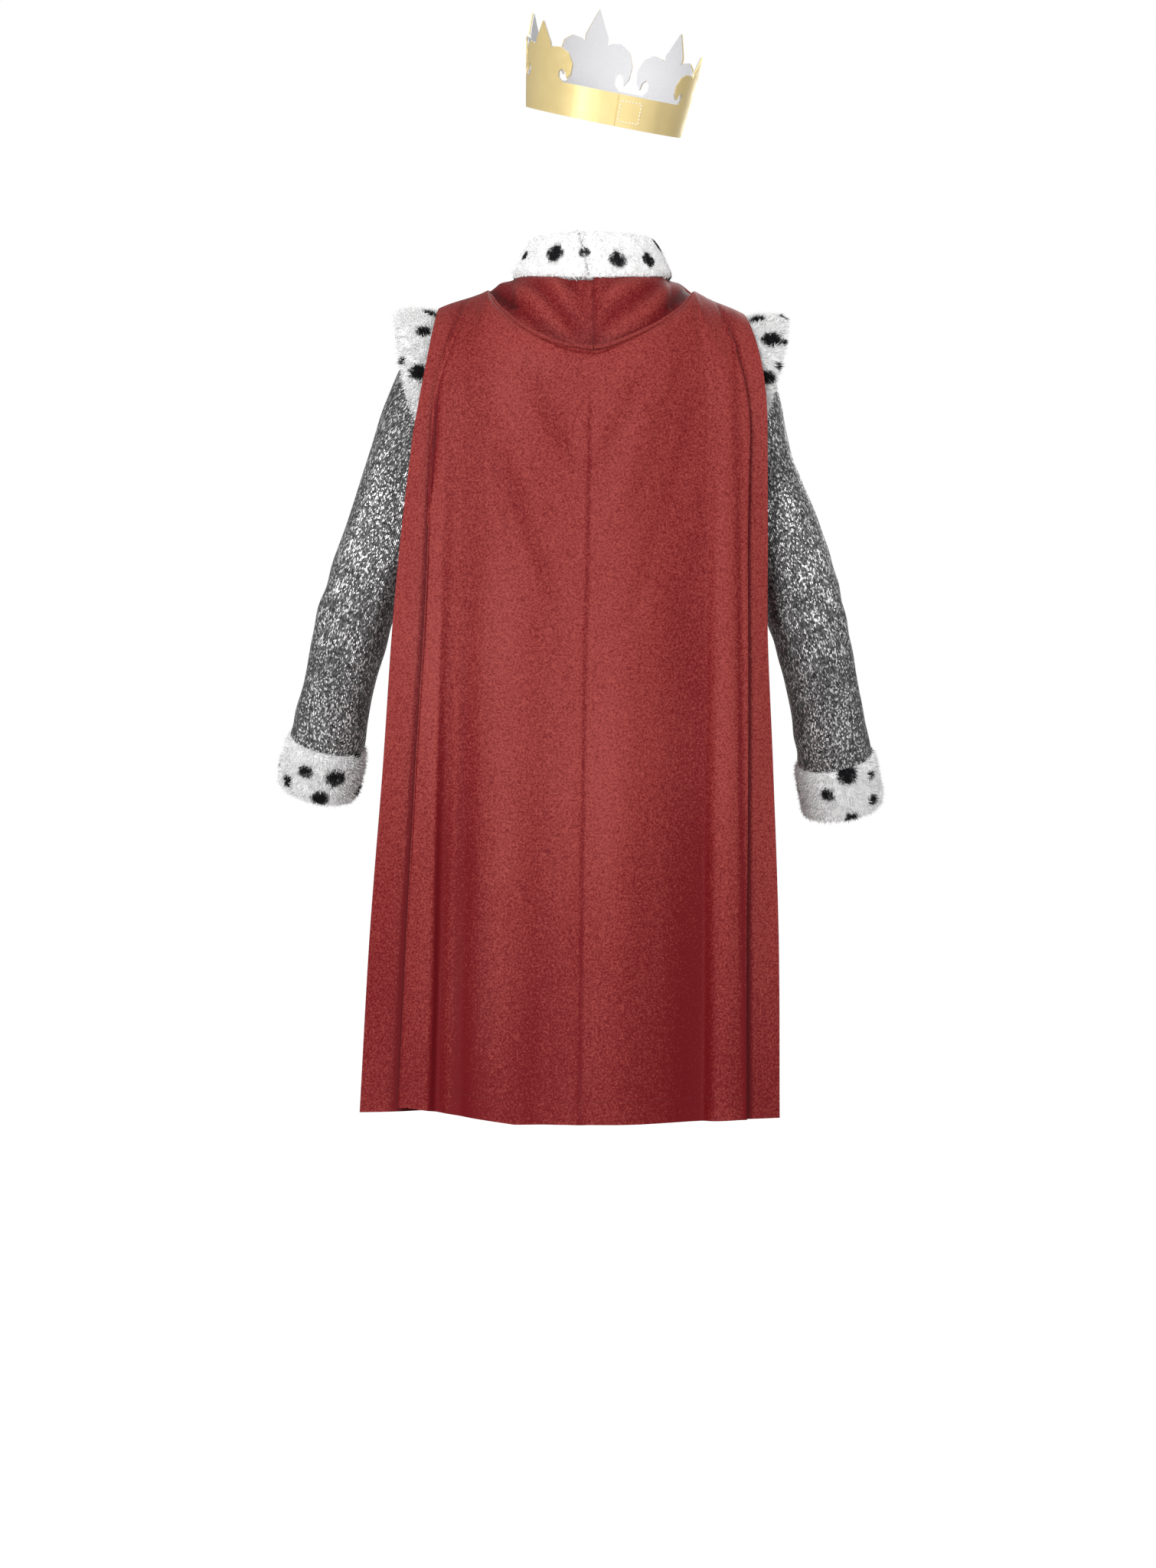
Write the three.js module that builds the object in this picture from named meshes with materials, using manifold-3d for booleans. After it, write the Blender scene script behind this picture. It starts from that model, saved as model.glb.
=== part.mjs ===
// A child's king costume, worn and seen without its wearer: a red satin tunic that opens down the centre back, with
// glitter-knit sleeves, a spotted fur collar, fur cuffs and standing fur shoulder wings, a red cape that hangs from the
// shoulder seams, and a gold cloth crown.
//
// Millimetres, +X to the wearer's right, +Y to the front, +Z up. The origin is the middle of the neck, level with the
// tops of the shoulder seams, where the wearer's shoulders carry the costume. Every cloth is a closed wall round a
// surface worked out from the tables below, and neighbouring pieces are a seam gap apart.

import * as THREE from "three";
import { mergeVertices } from "three/addons/utils/BufferGeometryUtils.js";
import Module from "manifold-3d";

const wasm = await Module();
wasm.setup();

const SEAM_GAP = 0.4;
const SATIN = 1.6;
const KNIT = 1.8;
const FUR = 7;
const QUARTER_TURN = Math.PI / 2;
const HALF_TURN = Math.PI;

const { lerp, degToRad } = THREE.MathUtils;
const vector = (x, y, z) => new THREE.Vector3(x, y, z);
const steps = (count) => Array.from({ length: count + 1 }, (_, i) => i / count);

// The rows of a table read as one smooth curve: every named column at the fractional row number `at`.
function along(rows, at) {
  const last = rows.length - 1;
  const i = Math.min(Math.floor(at), last - 1);
  const t = at - i;
  const read = (column) => {
    const b = rows[i][column];
    const c = rows[i + 1][column];
    const a = i > 0 ? rows[i - 1][column] : 2 * b - c;
    const d = i + 2 <= last ? rows[i + 2][column] : 2 * c - b;
    const bend = 2 * a - 5 * b + 4 * c - d;
    const turn = 3 * (b - c) + d - a;
    return b + (t / 2) * (c - a + t * (bend + t * turn));
  };
  return Object.fromEntries(Object.keys(rows[0]).map((column) => [column, read(column)]));
}

// The outward unit normal at each point of a grid of rows; `facing` is 1 or -1, and a ring's columns join up.
function normalsOf(grid, facing, ring) {
  const lastRow = grid.length - 1;
  const columns = grid[0].length;
  const column = (j) => (ring ? (j + columns) % columns : Math.max(0, Math.min(columns - 1, j)));
  return grid.map((row, i) =>
    row.map((_, j) => {
      const across = row[column(j + 1)].clone().sub(row[column(j - 1)]);
      const up = grid[Math.min(i + 1, lastRow)][j].clone().sub(grid[Math.max(i - 1, 0)][j]);
      return across.cross(up).normalize().multiplyScalar(facing);
    }),
  );
}

// Keeps both faces of a wall's first row on the seam they start from.
const startOnSeam = (p, from, i) => (i === 0 ? p.setX(from.x) : p);

// The closed wall between an outer grid and an inner grid of the same shape.
function wallBetween(outer, inner, ring = false) {
  const rows = outer.length;
  const columns = outer[0].length;
  const sheets = [outer, inner];
  const position = sheets.flatMap((grid) => grid.flatMap((row) => row.flatMap((p) => [p.x, p.y, p.z])));
  const at = (sheet, i, j) => (sheet * rows + i) * columns + (j % columns);
  const index = [];
  const quad = (a, b, c, d) => index.push(a, b, c, a, c, d);
  const spans = ring ? columns : columns - 1;
  for (let i = 0; i < rows - 1; i++)
    for (let j = 0; j < spans; j++) {
      quad(at(0, i, j), at(0, i, j + 1), at(0, i + 1, j + 1), at(0, i + 1, j));
      quad(at(1, i + 1, j), at(1, i + 1, j + 1), at(1, i, j + 1), at(1, i, j));
    }
  for (let j = 0; j < spans; j++) {
    quad(at(1, 0, j), at(1, 0, j + 1), at(0, 0, j + 1), at(0, 0, j));
    quad(at(0, rows - 1, j), at(0, rows - 1, j + 1), at(1, rows - 1, j + 1), at(1, rows - 1, j));
  }
  for (let i = 0; !ring && i < rows - 1; i++) {
    quad(at(0, i, 0), at(0, i + 1, 0), at(1, i + 1, 0), at(1, i, 0));
    quad(at(1, i, columns - 1), at(1, i + 1, columns - 1), at(0, i + 1, columns - 1), at(0, i, columns - 1));
  }
  const geometry = new THREE.BufferGeometry();
  geometry.setAttribute("position", new THREE.Float32BufferAttribute(position, 3));
  geometry.setIndex(volumeOf(position, index) < 0 ? index.reverse() : index);
  return geometry;
}

// The signed volume inside a mesh, which is negative when its faces point inwards.
function volumeOf(position, index) {
  const corner = (k) => new THREE.Vector3().fromArray(position, 3 * index[k]);
  let volume = 0;
  for (let k = 0; k < index.length; k += 3)
    volume += corner(k).dot(corner(k + 1).cross(corner(k + 2))) / 6;
  return volume;
}

// A grid moved inwards along its normals, by a depth that is one number or worked out for each point, row and column;
// `settle` may then correct each point, given the one it came from and its row, as at a seam.
function inset(grid, depth, facing, ring = false, settle = (p) => p) {
  const normals = normalsOf(grid, facing, ring);
  const depthAt = typeof depth === "number" ? () => depth : depth;
  return grid.map((row, i) =>
    row.map((p, j) => settle(p.clone().addScaledVector(normals[i][j], -depthAt(p, i, j)), p, i)),
  );
}

// Tunic: a flared body. Each row is a section, from the hem to the underarm.
const TORSO = [
  { z: -725, halfWidth: 152, front: 114, back: 104, flute: 5 },
  { z: -610, halfWidth: 144, front: 108, back: 100, flute: 3.5 },
  { z: -490, halfWidth: 132, front: 101, back: 96, flute: 2 },
  { z: -380, halfWidth: 118, front: 94, back: 90, flute: 0.8 },
  { z: -300, halfWidth: 113, front: 90, back: 88, flute: 0 },
  { z: -220, halfWidth: 115, front: 91, back: 91, flute: 0 },
  { z: -150, halfWidth: 118, front: 92, back: 91, flute: 0 },
];
const UNDERARM = TORSO.at(-1);
const CHEST = { z: -95, front: 88, back: 89 };
const ARMHOLE_GAP = 0.8;
const ARMHOLE = { topX: 139, midX: 112, front: 46, back: 48 };
const NECK = { halfWidth: 68, front: 67, back: 60, sideZ: -1.5, frontZ: -34, backZ: -7 };
const NECK_SHARE = 0.5;
const SECTION_POWER = 0.87;
const SHOULDER_SLOPE = 1.25;
const FLUTES = 7;
const SIDES = {
  left: { sign: -1, shoulderZ: -36, wingTuck: 0 },
  right: { sign: 1, shoulderZ: -41, wingTuck: 4 },
};
const sideOf = (u) => (u < 0 ? SIDES.left : SIDES.right);

// A point of the armhole seam: turn 0 is the shoulder, a quarter turn the chest, a half turn the underarm.
function armholePoint(side, facing, turn) {
  const c = Math.cos(turn);
  const s = Math.sin(turn);
  const depth = facing > 0 ? ARMHOLE.front : ARMHOLE.back;
  const upper = c >= 0;
  const x = upper ? lerp(ARMHOLE.midX, ARMHOLE.topX, c) : lerp(UNDERARM.halfWidth, ARMHOLE.midX, s);
  const z = lerp(CHEST.z, upper ? side.shoulderZ : UNDERARM.z, Math.abs(c));
  return vector(side.sign * x, facing * depth * s, z);
}

// The height of the neck seam at an angle whose cosine is 1 at the front and -1 at the back.
const neckZ = (cosine) => lerp(NECK.sideZ, cosine > 0 ? NECK.frontZ : NECK.backZ, cosine * cosine);

// The top of a tunic panel: the neckline for a small |u|, then the shoulder seam out to the armhole.
function tunicTop(facing, u) {
  const share = Math.abs(u) / NECK_SHARE;
  if (share <= 1) {
    const angle = share * QUARTER_TURN;
    const depth = facing > 0 ? NECK.front : NECK.back;
    const cosine = Math.cos(angle);
    return vector(Math.sign(u) * NECK.halfWidth * Math.sin(angle), facing * depth * cosine, neckZ(facing * cosine));
  }
  return shoulderPoint(sideOf(u), lerp(NECK.halfWidth, ARMHOLE.topX, (Math.abs(u) - NECK_SHARE) / (1 - NECK_SHARE)));
}

// The shoulder seam at the distance `out` from the middle of the neck.
function shoulderPoint(side, out) {
  const share = (out - NECK.halfWidth) / (ARMHOLE.topX - NECK.halfWidth);
  return vector(side.sign * out, 0, lerp(NECK.sideZ, side.shoulderZ, share));
}

// One point of the tunic. A skirt level is {row}, a fractional row of TORSO; an armhole level is {turn}.
function tunicPoint(facing, u, level) {
  const sine = Math.sign(u) * Math.sin(Math.abs(u) * QUARTER_TURN) ** SECTION_POWER;
  const cosine = Math.max(0, Math.cos(u * QUARTER_TURN)) ** SECTION_POWER;
  const face = facing > 0 ? "front" : "back";
  if ("row" in level) {
    const s = along(TORSO, level.row);
    const wave = facing > 0 ? s.flute * Math.cos(FLUTES * Math.PI * u) * cosine : 0;
    return vector(sine * s.halfWidth, facing * (cosine * s[face] + wave), s.z);
  }
  const chestTurn = Math.max(level.turn, QUARTER_TURN);
  const edge = armholePoint(sideOf(u), facing, chestTurn);
  const rise = (HALF_TURN - chestTurn) / QUARTER_TURN;
  const depth = facing * lerp(UNDERARM[face], CHEST[face], rise);
  const chest = vector(
    sine * Math.abs(edge.x),
    lerp(edge.y, depth, cosine),
    lerp(lerp(UNDERARM.z, CHEST.z, rise), edge.z, u ** 4),
  );
  if (level.turn >= QUARTER_TURN) return chest;
  const top = tunicTop(facing, u);
  const up = Math.cos(level.turn);
  const slope = lerp(SHOULDER_SLOPE, 1, u ** 4);
  return vector(
    lerp(chest.x, top.x, up),
    lerp(top.y, chest.y, Math.sin(level.turn) ** slope),
    lerp(chest.z, top.z, up),
  );
}

const SKIRT_ROWS = 8;
const ARMHOLE_STEPS = 10;
const TUNIC_LEVELS = [
  ...steps(SKIRT_ROWS).slice(0, -1).map((t) => ({ row: t * (TORSO.length - 1) })),
  ...steps(ARMHOLE_STEPS).map((t) => ({ turn: HALF_TURN * (1 - t) })),
];

// Keeps a panel on its own side of the side and shoulder seams.
const behindSeam = (facing) => (p) => p.setY(facing * Math.max(facing * p.y, SEAM_GAP / 2));

// The tunic front, in one piece from the left side seam to the right one.
function tunicFront() {
  const settle = behindSeam(1);
  const across = steps(28).map((t) => 2 * t - 1);
  const grid = TUNIC_LEVELS.map((level) => across.map((u) => settle(tunicPoint(1, u, level))));
  return wallBetween(grid, inset(grid, SATIN, -1, false, settle));
}

// Centre back: the right panel's edge laps over the left panel's from the neck to the hem.
const BACK_LAP = { edgeX: 2, width: 12, sink: SATIN + 1, easeFrom: -32, easeTo: -10, reach: 40 };

function tunicBack(side) {
  const settle = behindSeam(-1);
  const under = side === SIDES.left;
  const edge = BACK_LAP.edgeX + (under ? BACK_LAP.width : 0);
  const across = steps(14).map((t) => t ** 1.3);
  const place = (out, level) => {
    const p = settle(tunicPoint(-1, side.sign * out, level));
    p.x += edge * Math.max(0, 1 - Math.abs(p.x) / BACK_LAP.reach);
    return p;
  };
  const flat = TUNIC_LEVELS.map((level) => across.map((out) => place(out, level)));
  const sink = (p) => BACK_LAP.sink * THREE.MathUtils.smoothstep(p.x, BACK_LAP.easeFrom, BACK_LAP.easeTo);
  const grid = under ? inset(flat, sink, side.sign, false, settle) : flat;
  return wallBetween(grid, inset(grid, SATIN, side.sign, false, settle));
}

// Sleeve: each row is a section square to the arm, from the upper arm to the wrist.
const ARMS = {
  left: [
    { x: -172, y: -8, z: -185, across: 72, deep: 80 },
    { x: -188, y: -13, z: -236, across: 72, deep: 78 },
    { x: -205, y: -17, z: -282, across: 70, deep: 75 },
    { x: -219, y: -15, z: -328, across: 68, deep: 71 },
    { x: -230.5, y: -1, z: -374, across: 64, deep: 67 },
    { x: -242, y: 17, z: -424, across: 69, deep: 69 },
  ],
  right: [
    { x: 156, y: -8, z: -185, across: 65, deep: 78 },
    { x: 174, y: -13, z: -236, across: 71, deep: 78 },
    { x: 190, y: -17, z: -288, across: 71, deep: 75 },
    { x: 203, y: -15, z: -339, across: 68, deep: 71 },
    { x: 214, y: 0, z: -388, across: 65, deep: 67 },
    { x: 224, y: 18, z: -440, across: 69, deep: 69 },
  ],
};

// The centre, axis and radii of the arm at a fractional row of its table. `out` points away from the body.
function armFrame(side, at) {
  const rows = ARMS[side.sign < 0 ? "left" : "right"];
  const here = along(rows, at);
  const reach = 0.05;
  const end = rows.length - 1;
  const before = along(rows, Math.max(0, at - reach));
  const after = along(rows, Math.min(end, at + reach));
  const axis = vector(after.x - before.x, after.y - before.y, after.z - before.z).normalize();
  const front = vector(0, 1, 0).addScaledVector(axis, -axis.y).normalize();
  const out = front.clone().cross(axis).normalize().multiplyScalar(-side.sign);
  return { centre: vector(here.x, here.y, here.z), axis, front, out, across: here.across / 2, deep: here.deep / 2 };
}

// A point on the arm at `turn`, where 0 is its outer side and a quarter turn its front.
function armPoint(frame, turn, swell = 0) {
  return frame.centre
    .clone()
    .addScaledVector(frame.out, (frame.across + swell) * Math.cos(turn))
    .addScaledVector(frame.front, (frame.deep + swell) * Math.sin(turn));
}

const CAP_PULL = { top: 0.75, bottom: 0.35, drop: 0.85 };

// The sleeve head: a curve for each turn, from the armhole seam at t = 0 to the first arm section at t = 1.
function sleeveHeadPoint(side, turn, t) {
  const facing = Math.sin(turn) >= 0 ? 1 : -1;
  const seam = armholePoint(side, facing, Math.acos(Math.cos(turn))).add(vector(side.sign * ARMHOLE_GAP, 0, 0));
  const frame = armFrame(side, 0);
  const end = armPoint(frame, turn);
  const length = seam.distanceTo(end);
  const high = (1 + Math.cos(turn)) / 2;
  const leave = vector(side.sign * lerp(0.35, 1, high), 0, -CAP_PULL.drop).normalize();
  const leaving = leave.multiplyScalar(length * lerp(CAP_PULL.bottom, CAP_PULL.top, high) * 1.3);
  const arriving = frame.axis.clone().multiplyScalar(length * 0.9);
  const t2 = t * t;
  const t3 = t2 * t;
  return seam
    .multiplyScalar(2 * t3 - 3 * t2 + 1)
    .addScaledVector(leaving, t3 - 2 * t2 + t)
    .addScaledVector(end, 3 * t2 - 2 * t3)
    .addScaledVector(arriving, t3 - t2);
}

const ROUND = steps(2 * ARMHOLE_STEPS).slice(0, -1).map((t) => t * 2 * HALF_TURN);

function sleeve(side) {
  const head = steps(5).slice(0, -1).map((t) => ROUND.map((turn) => sleeveHeadPoint(side, turn, t)));
  const arm = steps(9).map((t) => {
    const frame = armFrame(side, t * (ARMS.left.length - 1));
    return ROUND.map((turn) => armPoint(frame, turn));
  });
  const grid = [...head, ...arm];
  return wallBetween(grid, inset(grid, KNIT, -side.sign, true, startOnSeam), true);
}

// Cuff: a fur band below the sleeve's end. Each row is a ring: its distance down the arm, and how far it swells.
const CUFF = [
  { down: 0, swell: 1, hollow: -5 },
  { down: 5, swell: 3.2, hollow: -5 },
  { down: 24, swell: 3.8, hollow: -4.5 },
  { down: 42, swell: 3.2, hollow: -4.5 },
  { down: 48, swell: 0.5, hollow: -4.5 },
];

function cuff(side) {
  const frame = armFrame(side, ARMS.left.length - 1);
  const ringAt = (row, swell) =>
    ROUND.map((turn) => armPoint(frame, turn, swell).addScaledVector(frame.axis, SEAM_GAP + row.down));
  const outer = CUFF.map((row) => ringAt(row, row.swell));
  const inner = CUFF.map((row) => ringAt(row, row.hollow));
  return wallBetween(outer, inner, true);
}

// Collar: a standing fur band round the neck, open at a slanting slit at the back.
const COLLAR = {
  thickness: 9,
  offNeck: 1.6,
  foot: { midX: 1.2, halfWidth: 74.5, front: 72, back: 66 },
  top: { midX: 1.5, halfWidth: 58, front: 57, back: 53, sideZ: 35, frontZ: 10, backZ: 36 },
  slit: { footX: -3, topX: -12.5, width: 1.4 },
};
const COLLAR_ROWS = [
  { up: 0, bulge: -1.5 },
  { up: 0.12, bulge: 0.3 },
  { up: 0.5, bulge: 1 },
  { up: 0.88, bulge: 0 },
  { up: 1, bulge: -2.5 },
];

function collarPoint(up, share, inwards) {
  const { foot, top, slit } = COLLAR;
  const halfWidth = lerp(foot.halfWidth, top.halfWidth, up) - inwards;
  const skew = Math.asin(lerp(slit.footX, slit.topX, up) / halfWidth);
  const half = slit.width / 2 / lerp(foot.back, top.back, up);
  const angle = -HALF_TURN - skew + half + share * 2 * (HALF_TURN - half);
  const cosine = Math.cos(angle);
  const face = cosine > 0 ? "front" : "back";
  const depth = lerp(foot[face], top[face], up) - inwards;
  const topZ = lerp(top.sideZ, cosine > 0 ? top.frontZ : top.backZ, cosine * cosine);
  const midX = lerp(foot.midX, top.midX, up);
  return vector(
    midX + halfWidth * Math.sin(angle),
    depth * cosine,
    lerp(neckZ(cosine) + COLLAR.offNeck, topZ, up),
  );
}

function collar() {
  const round = steps(32);
  const outer = COLLAR_ROWS.map((row) => round.map((share) => collarPoint(row.up, share, -row.bulge)));
  const inner = COLLAR_ROWS.map((row) =>
    round.map((share) => collarPoint(row.up, share, COLLAR.thickness + Math.min(0, row.bulge))),
  );
  return wallBetween(outer, inner);
}

// Shoulder wing: a stiff fur crescent sewn along the armhole. Each row gives its rim at a turn round the armhole: how far
// it stands out past the shoulder, how far it lies in front of or behind the seam, and how far below the shoulder it is.
const WING_RIM = [
  { turn: 0, out: 38, deep: 0, drop: 0 },
  { turn: 25, out: 37.5, deep: 29, drop: 8 },
  { turn: 50, out: 35, deep: 49, drop: 33 },
  { turn: 70, out: 30, deep: 55, drop: 60 },
  { turn: 90, out: 23, deep: 57, drop: 86 },
  { turn: 105, out: 14, deep: 55, drop: 104 },
  { turn: 120, out: 4, deep: 51, drop: 116 },
  { turn: 132, out: -7, deep: 45, drop: 121 },
  { turn: 142, out: -14, deep: 38, drop: 122 },
];
const WING = {
  lift: 0.6,
  lowLift: 2.7,
  offSeam: 0.97,
  lowOff: 1.3,
  swell: 3,
  tipFur: 0.45,
  rootFur: 3.4,
  fullAt: 0.35,
  rimFur: 4.5,
};

// A point of the wing's lining: `place` runs from -1 at the back tip to 1 at the front tip, `share` from seam to rim.
function wingPoint(side, place, share) {
  const facing = place < 0 ? -1 : 1;
  const rim = along(WING_RIM, Math.abs(place) * (WING_RIM.length - 1));
  const turn = degToRad(rim.turn);
  const outwards = vector(0, facing * Math.sin(turn), Math.cos(turn));
  const low = THREE.MathUtils.smoothstep(rim.turn, 80, 120);
  const seam = armholePoint(side, facing, turn).addScaledVector(outwards, WING.lift + WING.lowLift * low);
  seam.x += side.sign * (WING.offSeam + WING.lowOff * low);
  const out = ARMHOLE.topX + rim.out - side.wingTuck * THREE.MathUtils.smoothstep(rim.turn, 40, 80);
  const end = vector(side.sign * out, facing * rim.deep, side.shoulderZ + WING.lift - rim.drop);
  const swell = WING.swell * Math.sin(Math.PI * share) * Math.sin(turn);
  return seam.lerp(end, share).addScaledVector(outwards, swell);
}

// The pile is pressed flat in the seam and at the tips, and rounds off at the rim.
function wing(side) {
  const round = steps(24).map((t) => 2 * t - 1);
  const shares = steps(4);
  const lining = shares.map((share) => round.map((place) => wingPoint(side, place, share)));
  const depths = shares.map((share) =>
    share === 1 ? WING.rimFur : lerp(WING.rootFur, FUR, Math.min(1, share / WING.fullAt)),
  );
  const nearTip = round.map((place) => lerp(1, WING.tipFur, THREE.MathUtils.smoothstep(Math.abs(place), 0.65, 1)));
  const fur = (_, i, j) => -depths[i] * nearTip[j];
  return wallBetween(inset(lining, fur, -side.sign, false, startOnSeam), lining);
}

// Cape: each row is a section from below the shoulder blades to the hem. The back is a gentle curve from the centre
// seam out to a fold; there the cloth turns under by `under`, `pleat` nearer the body, and comes out to its free edge.
const CAPE = {
  left: [
    { z: -150, seamX: -2, seamY: -114, foldX: 142, foldY: -94, under: 9, pleat: 9, edgeX: 160, edgeY: -80 },
    { z: -240, seamX: -3, seamY: -119, foldX: 145, foldY: -100, under: 11, pleat: 9, edgeX: 170.5, edgeY: -83 },
    { z: -330, seamX: -5, seamY: -124, foldX: 149, foldY: -106, under: 13, pleat: 10, edgeX: 178.6, edgeY: -87 },
    { z: -450, seamX: -7, seamY: -131, foldX: 156, foldY: -112, under: 15, pleat: 11, edgeX: 186.5, edgeY: -91 },
    { z: -600, seamX: -9, seamY: -140, foldX: 163.5, foldY: -119, under: 18, pleat: 12, edgeX: 198, edgeY: -96 },
    { z: -757, seamX: -10.5, seamY: -150, foldX: 170.5, foldY: -127, under: 22, pleat: 13, edgeX: 206.6, edgeY: -101 },
  ],
  right: [
    { z: -150, seamX: -2, seamY: -114, foldX: 141, foldY: -92, under: 9, pleat: 9, edgeX: 158, edgeY: -80 },
    { z: -240, seamX: -3, seamY: -119, foldX: 138.6, foldY: -98, under: 11, pleat: 9, edgeX: 158.2, edgeY: -82 },
    { z: -330, seamX: -5, seamY: -124, foldX: 138.8, foldY: -104, under: 13, pleat: 10, edgeX: 158, edgeY: -85 },
    { z: -450, seamX: -7, seamY: -131, foldX: 138.4, foldY: -111, under: 14, pleat: 11, edgeX: 162.7, edgeY: -89 },
    { z: -600, seamX: -9, seamY: -140, foldX: 137.2, foldY: -118, under: 16, pleat: 12, edgeX: 167.4, edgeY: -95 },
    { z: -757, seamX: -10.5, seamY: -150, foldX: 136.6, foldY: -127, under: 18, pleat: 13, edgeX: 168, edgeY: -100 },
  ],
};
// Where the same places of the cape are sewn to the shoulder seam, as distances from the middle of the neck.
const CAPE_SHOULDER = { edge: 138.6, strip: 124, fold: 107, turn: 111, neck: 93.5, neckLift: 2.2, edgeLift: 6.5 };
// The cape's neckline from the shoulder to the centre seam. The whole curve sits a little to the left.
const CAPE_NECKLINE = [
  { out: 93.5, y: 0, z: -12.2, shift: 0 },
  { out: 92.5, y: -18, z: -15.4, shift: 0 },
  { out: 90, y: -37, z: -23.5, shift: 0 },
  { out: 84.5, y: -51, z: -32, shift: 0 },
  { out: 78, y: -61, z: -38.5, shift: -0.5 },
  { out: 63.5, y: -79, z: -50.4, shift: -2.5 },
  { out: 45.5, y: -89, z: -60.6, shift: -4 },
  { out: 28.5, y: -96, z: -68.5, shift: -4 },
  { out: 14, y: -102.5, z: -73, shift: -2.7 },
  { out: 0, y: -105, z: -74.7, shift: 1.7 },
];
const CAPE_HEM = { left: { edge: -756, fold: -750 }, right: { edge: -761, fold: -761 }, seam: -763.5 };
const EDGE_BULGE = { left: 1, right: 2.4 };
const FOLD_BULGE = 2;
const BACK_FALL = 0.8;
// Soft hollows (positive) and ridges (negative) down the cape's back, by where they lie at the top and at the hem. Each
// falls off over its own width to the left and to the right.
const CAPE_HOLLOWS = [
  { topX: -118, hemX: -137, left: 6, right: 11, topDepth: 0.5, hemDepth: 10 },
  { topX: -104, hemX: -117, left: 9, right: 9, topDepth: 0, hemDepth: 6 },
  { topX: -60, hemX: -84, left: 26, right: 24, topDepth: -1, hemDepth: -3 },
  { topX: 103, hemX: 97, left: 36, right: 8, topDepth: 5, hemDepth: 14 },
  { topX: 124, hemX: 120, left: 9, right: 9, topDepth: -2, hemDepth: -2 },
  { topX: 36, hemX: 20, left: 22, right: 20, topDepth: -2, hemDepth: -4 },
  { topX: -40, hemX: -44, left: 12, right: 12, topDepth: 0, hemDepth: 3 },
];

// The section of the cape through a row: key points from the free edge, round the fold, to the centre seam.
function capeSection(row) {
  const { foldX, foldY, under, pleat, edgeX, edgeY } = row;
  const stripY = foldY + pleat;
  return [
    { out: edgeX, y: edgeY },
    { out: lerp(edgeX, foldX, 0.5), y: lerp(edgeY, stripY, 0.62) },
    { out: foldX + 1, y: stripY },
    { out: foldX - 0.7 * under, y: stripY - 0.03 * pleat },
    { out: foldX - under, y: foldY + 0.66 * pleat },
    { out: foldX - 0.6 * under, y: foldY + 0.42 * pleat },
    { out: foldX + 1, y: foldY + 0.2 * pleat },
    { out: foldX - 7, y: foldY - 1 },
  ];
}

const PLEAT_KEYS = 7;
const BACK_SPANS = 12;

// Where each key point of the section is sewn: its distance out along the shoulder seam.
const CAPE_SEWN = [
  { out: CAPE_SHOULDER.edge },
  { out: CAPE_SHOULDER.strip },
  { out: CAPE_SHOULDER.turn + 4 },
  { out: CAPE_SHOULDER.turn + 1.5 },
  { out: CAPE_SHOULDER.turn },
  { out: CAPE_SHOULDER.turn - 2 },
  { out: CAPE_SHOULDER.fold },
  { out: CAPE_SHOULDER.fold - 4 },
];

// The cape's top edge on the shoulder, `out` from the middle of the neck.
function capeShoulder(side, out) {
  const { neck, edge, neckLift, edgeLift } = CAPE_SHOULDER;
  const lift = lerp(neckLift, edgeLift, (out - neck) / (edge - neck));
  return shoulderPoint(side, out).add(vector(0, 0, lift));
}

// The top edge of the cape's back panel: along the shoulder, then the drooping neckline down to the centre seam.
function capeTop(side, share) {
  const corner = 1 / BACK_SPANS;
  if (share <= corner) {
    const out = lerp(CAPE_SHOULDER.fold - 4, CAPE_SHOULDER.neck, share / corner);
    return capeShoulder(side, out);
  }
  const edge = along(CAPE_NECKLINE, ((share - corner) / (1 - corner)) * (CAPE_NECKLINE.length - 1));
  return vector(side.sign * edge.out + edge.shift, edge.y, edge.z);
}

// How far the soft hollows push the back towards the body, at a place `down` from the top row to the hem.
function hollowAt(x, down) {
  return CAPE_HOLLOWS.reduce((sum, h) => {
    const off = x - lerp(h.topX, h.hemX, down);
    const share = off / (off < 0 ? h.left : h.right);
    return sum + lerp(h.topDepth, h.hemDepth, down) * Math.exp(-share * share);
  }, 0);
}

// One column of the cape at a level: {row} below the shoulder blades, {turn} from there up to the top edge.
function capePoint(side, column, level) {
  const name = side.sign < 0 ? "left" : "right";
  const rows = CAPE[name];
  const row = along(rows, level.row ?? 0);
  const down = (level.row ?? 0) / (rows.length - 1);
  const folded = column <= PLEAT_KEYS;
  const share = folded ? 0 : (column - PLEAT_KEYS) / BACK_SPANS;
  let x;
  let y;
  if (folded) {
    const key = along(capeSection(row), column);
    x = side.sign * key.out;
    y = key.y;
  } else {
    x = lerp(side.sign * (row.foldX - 7), row.seamX, share);
    y = lerp(row.foldY - 1, row.seamY, Math.sin(share * QUARTER_TURN) ** 0.9);
  }
  const inBack = folded ? Math.max(0, column - PLEAT_KEYS + 1) : 1;
  y += inBack * hollowAt(x, down);
  const hem = CAPE_HEM[name];
  const hemZ = folded
    ? lerp(hem.edge, hem.fold, column / PLEAT_KEYS)
    : lerp(hem.fold, CAPE_HEM.seam, Math.min(1, 1.6 * share));
  const z = row.z + (hemZ - rows.at(-1).z) * down ** 3;
  if ("row" in level) return vector(x, y, z);
  const top = folded
    ? capeShoulder(side, along(CAPE_SEWN, column).out)
    : capeTop(side, share);
  const up = Math.cos(level.turn);
  const bulge = lerp(EDGE_BULGE[name], FOLD_BULGE, Math.min(1, column / 3));
  return vector(
    lerp(x, top.x, up ** bulge),
    lerp(top.y, y, Math.sin(level.turn) ** BACK_FALL),
    lerp(z, top.z, up),
  );
}

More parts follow.
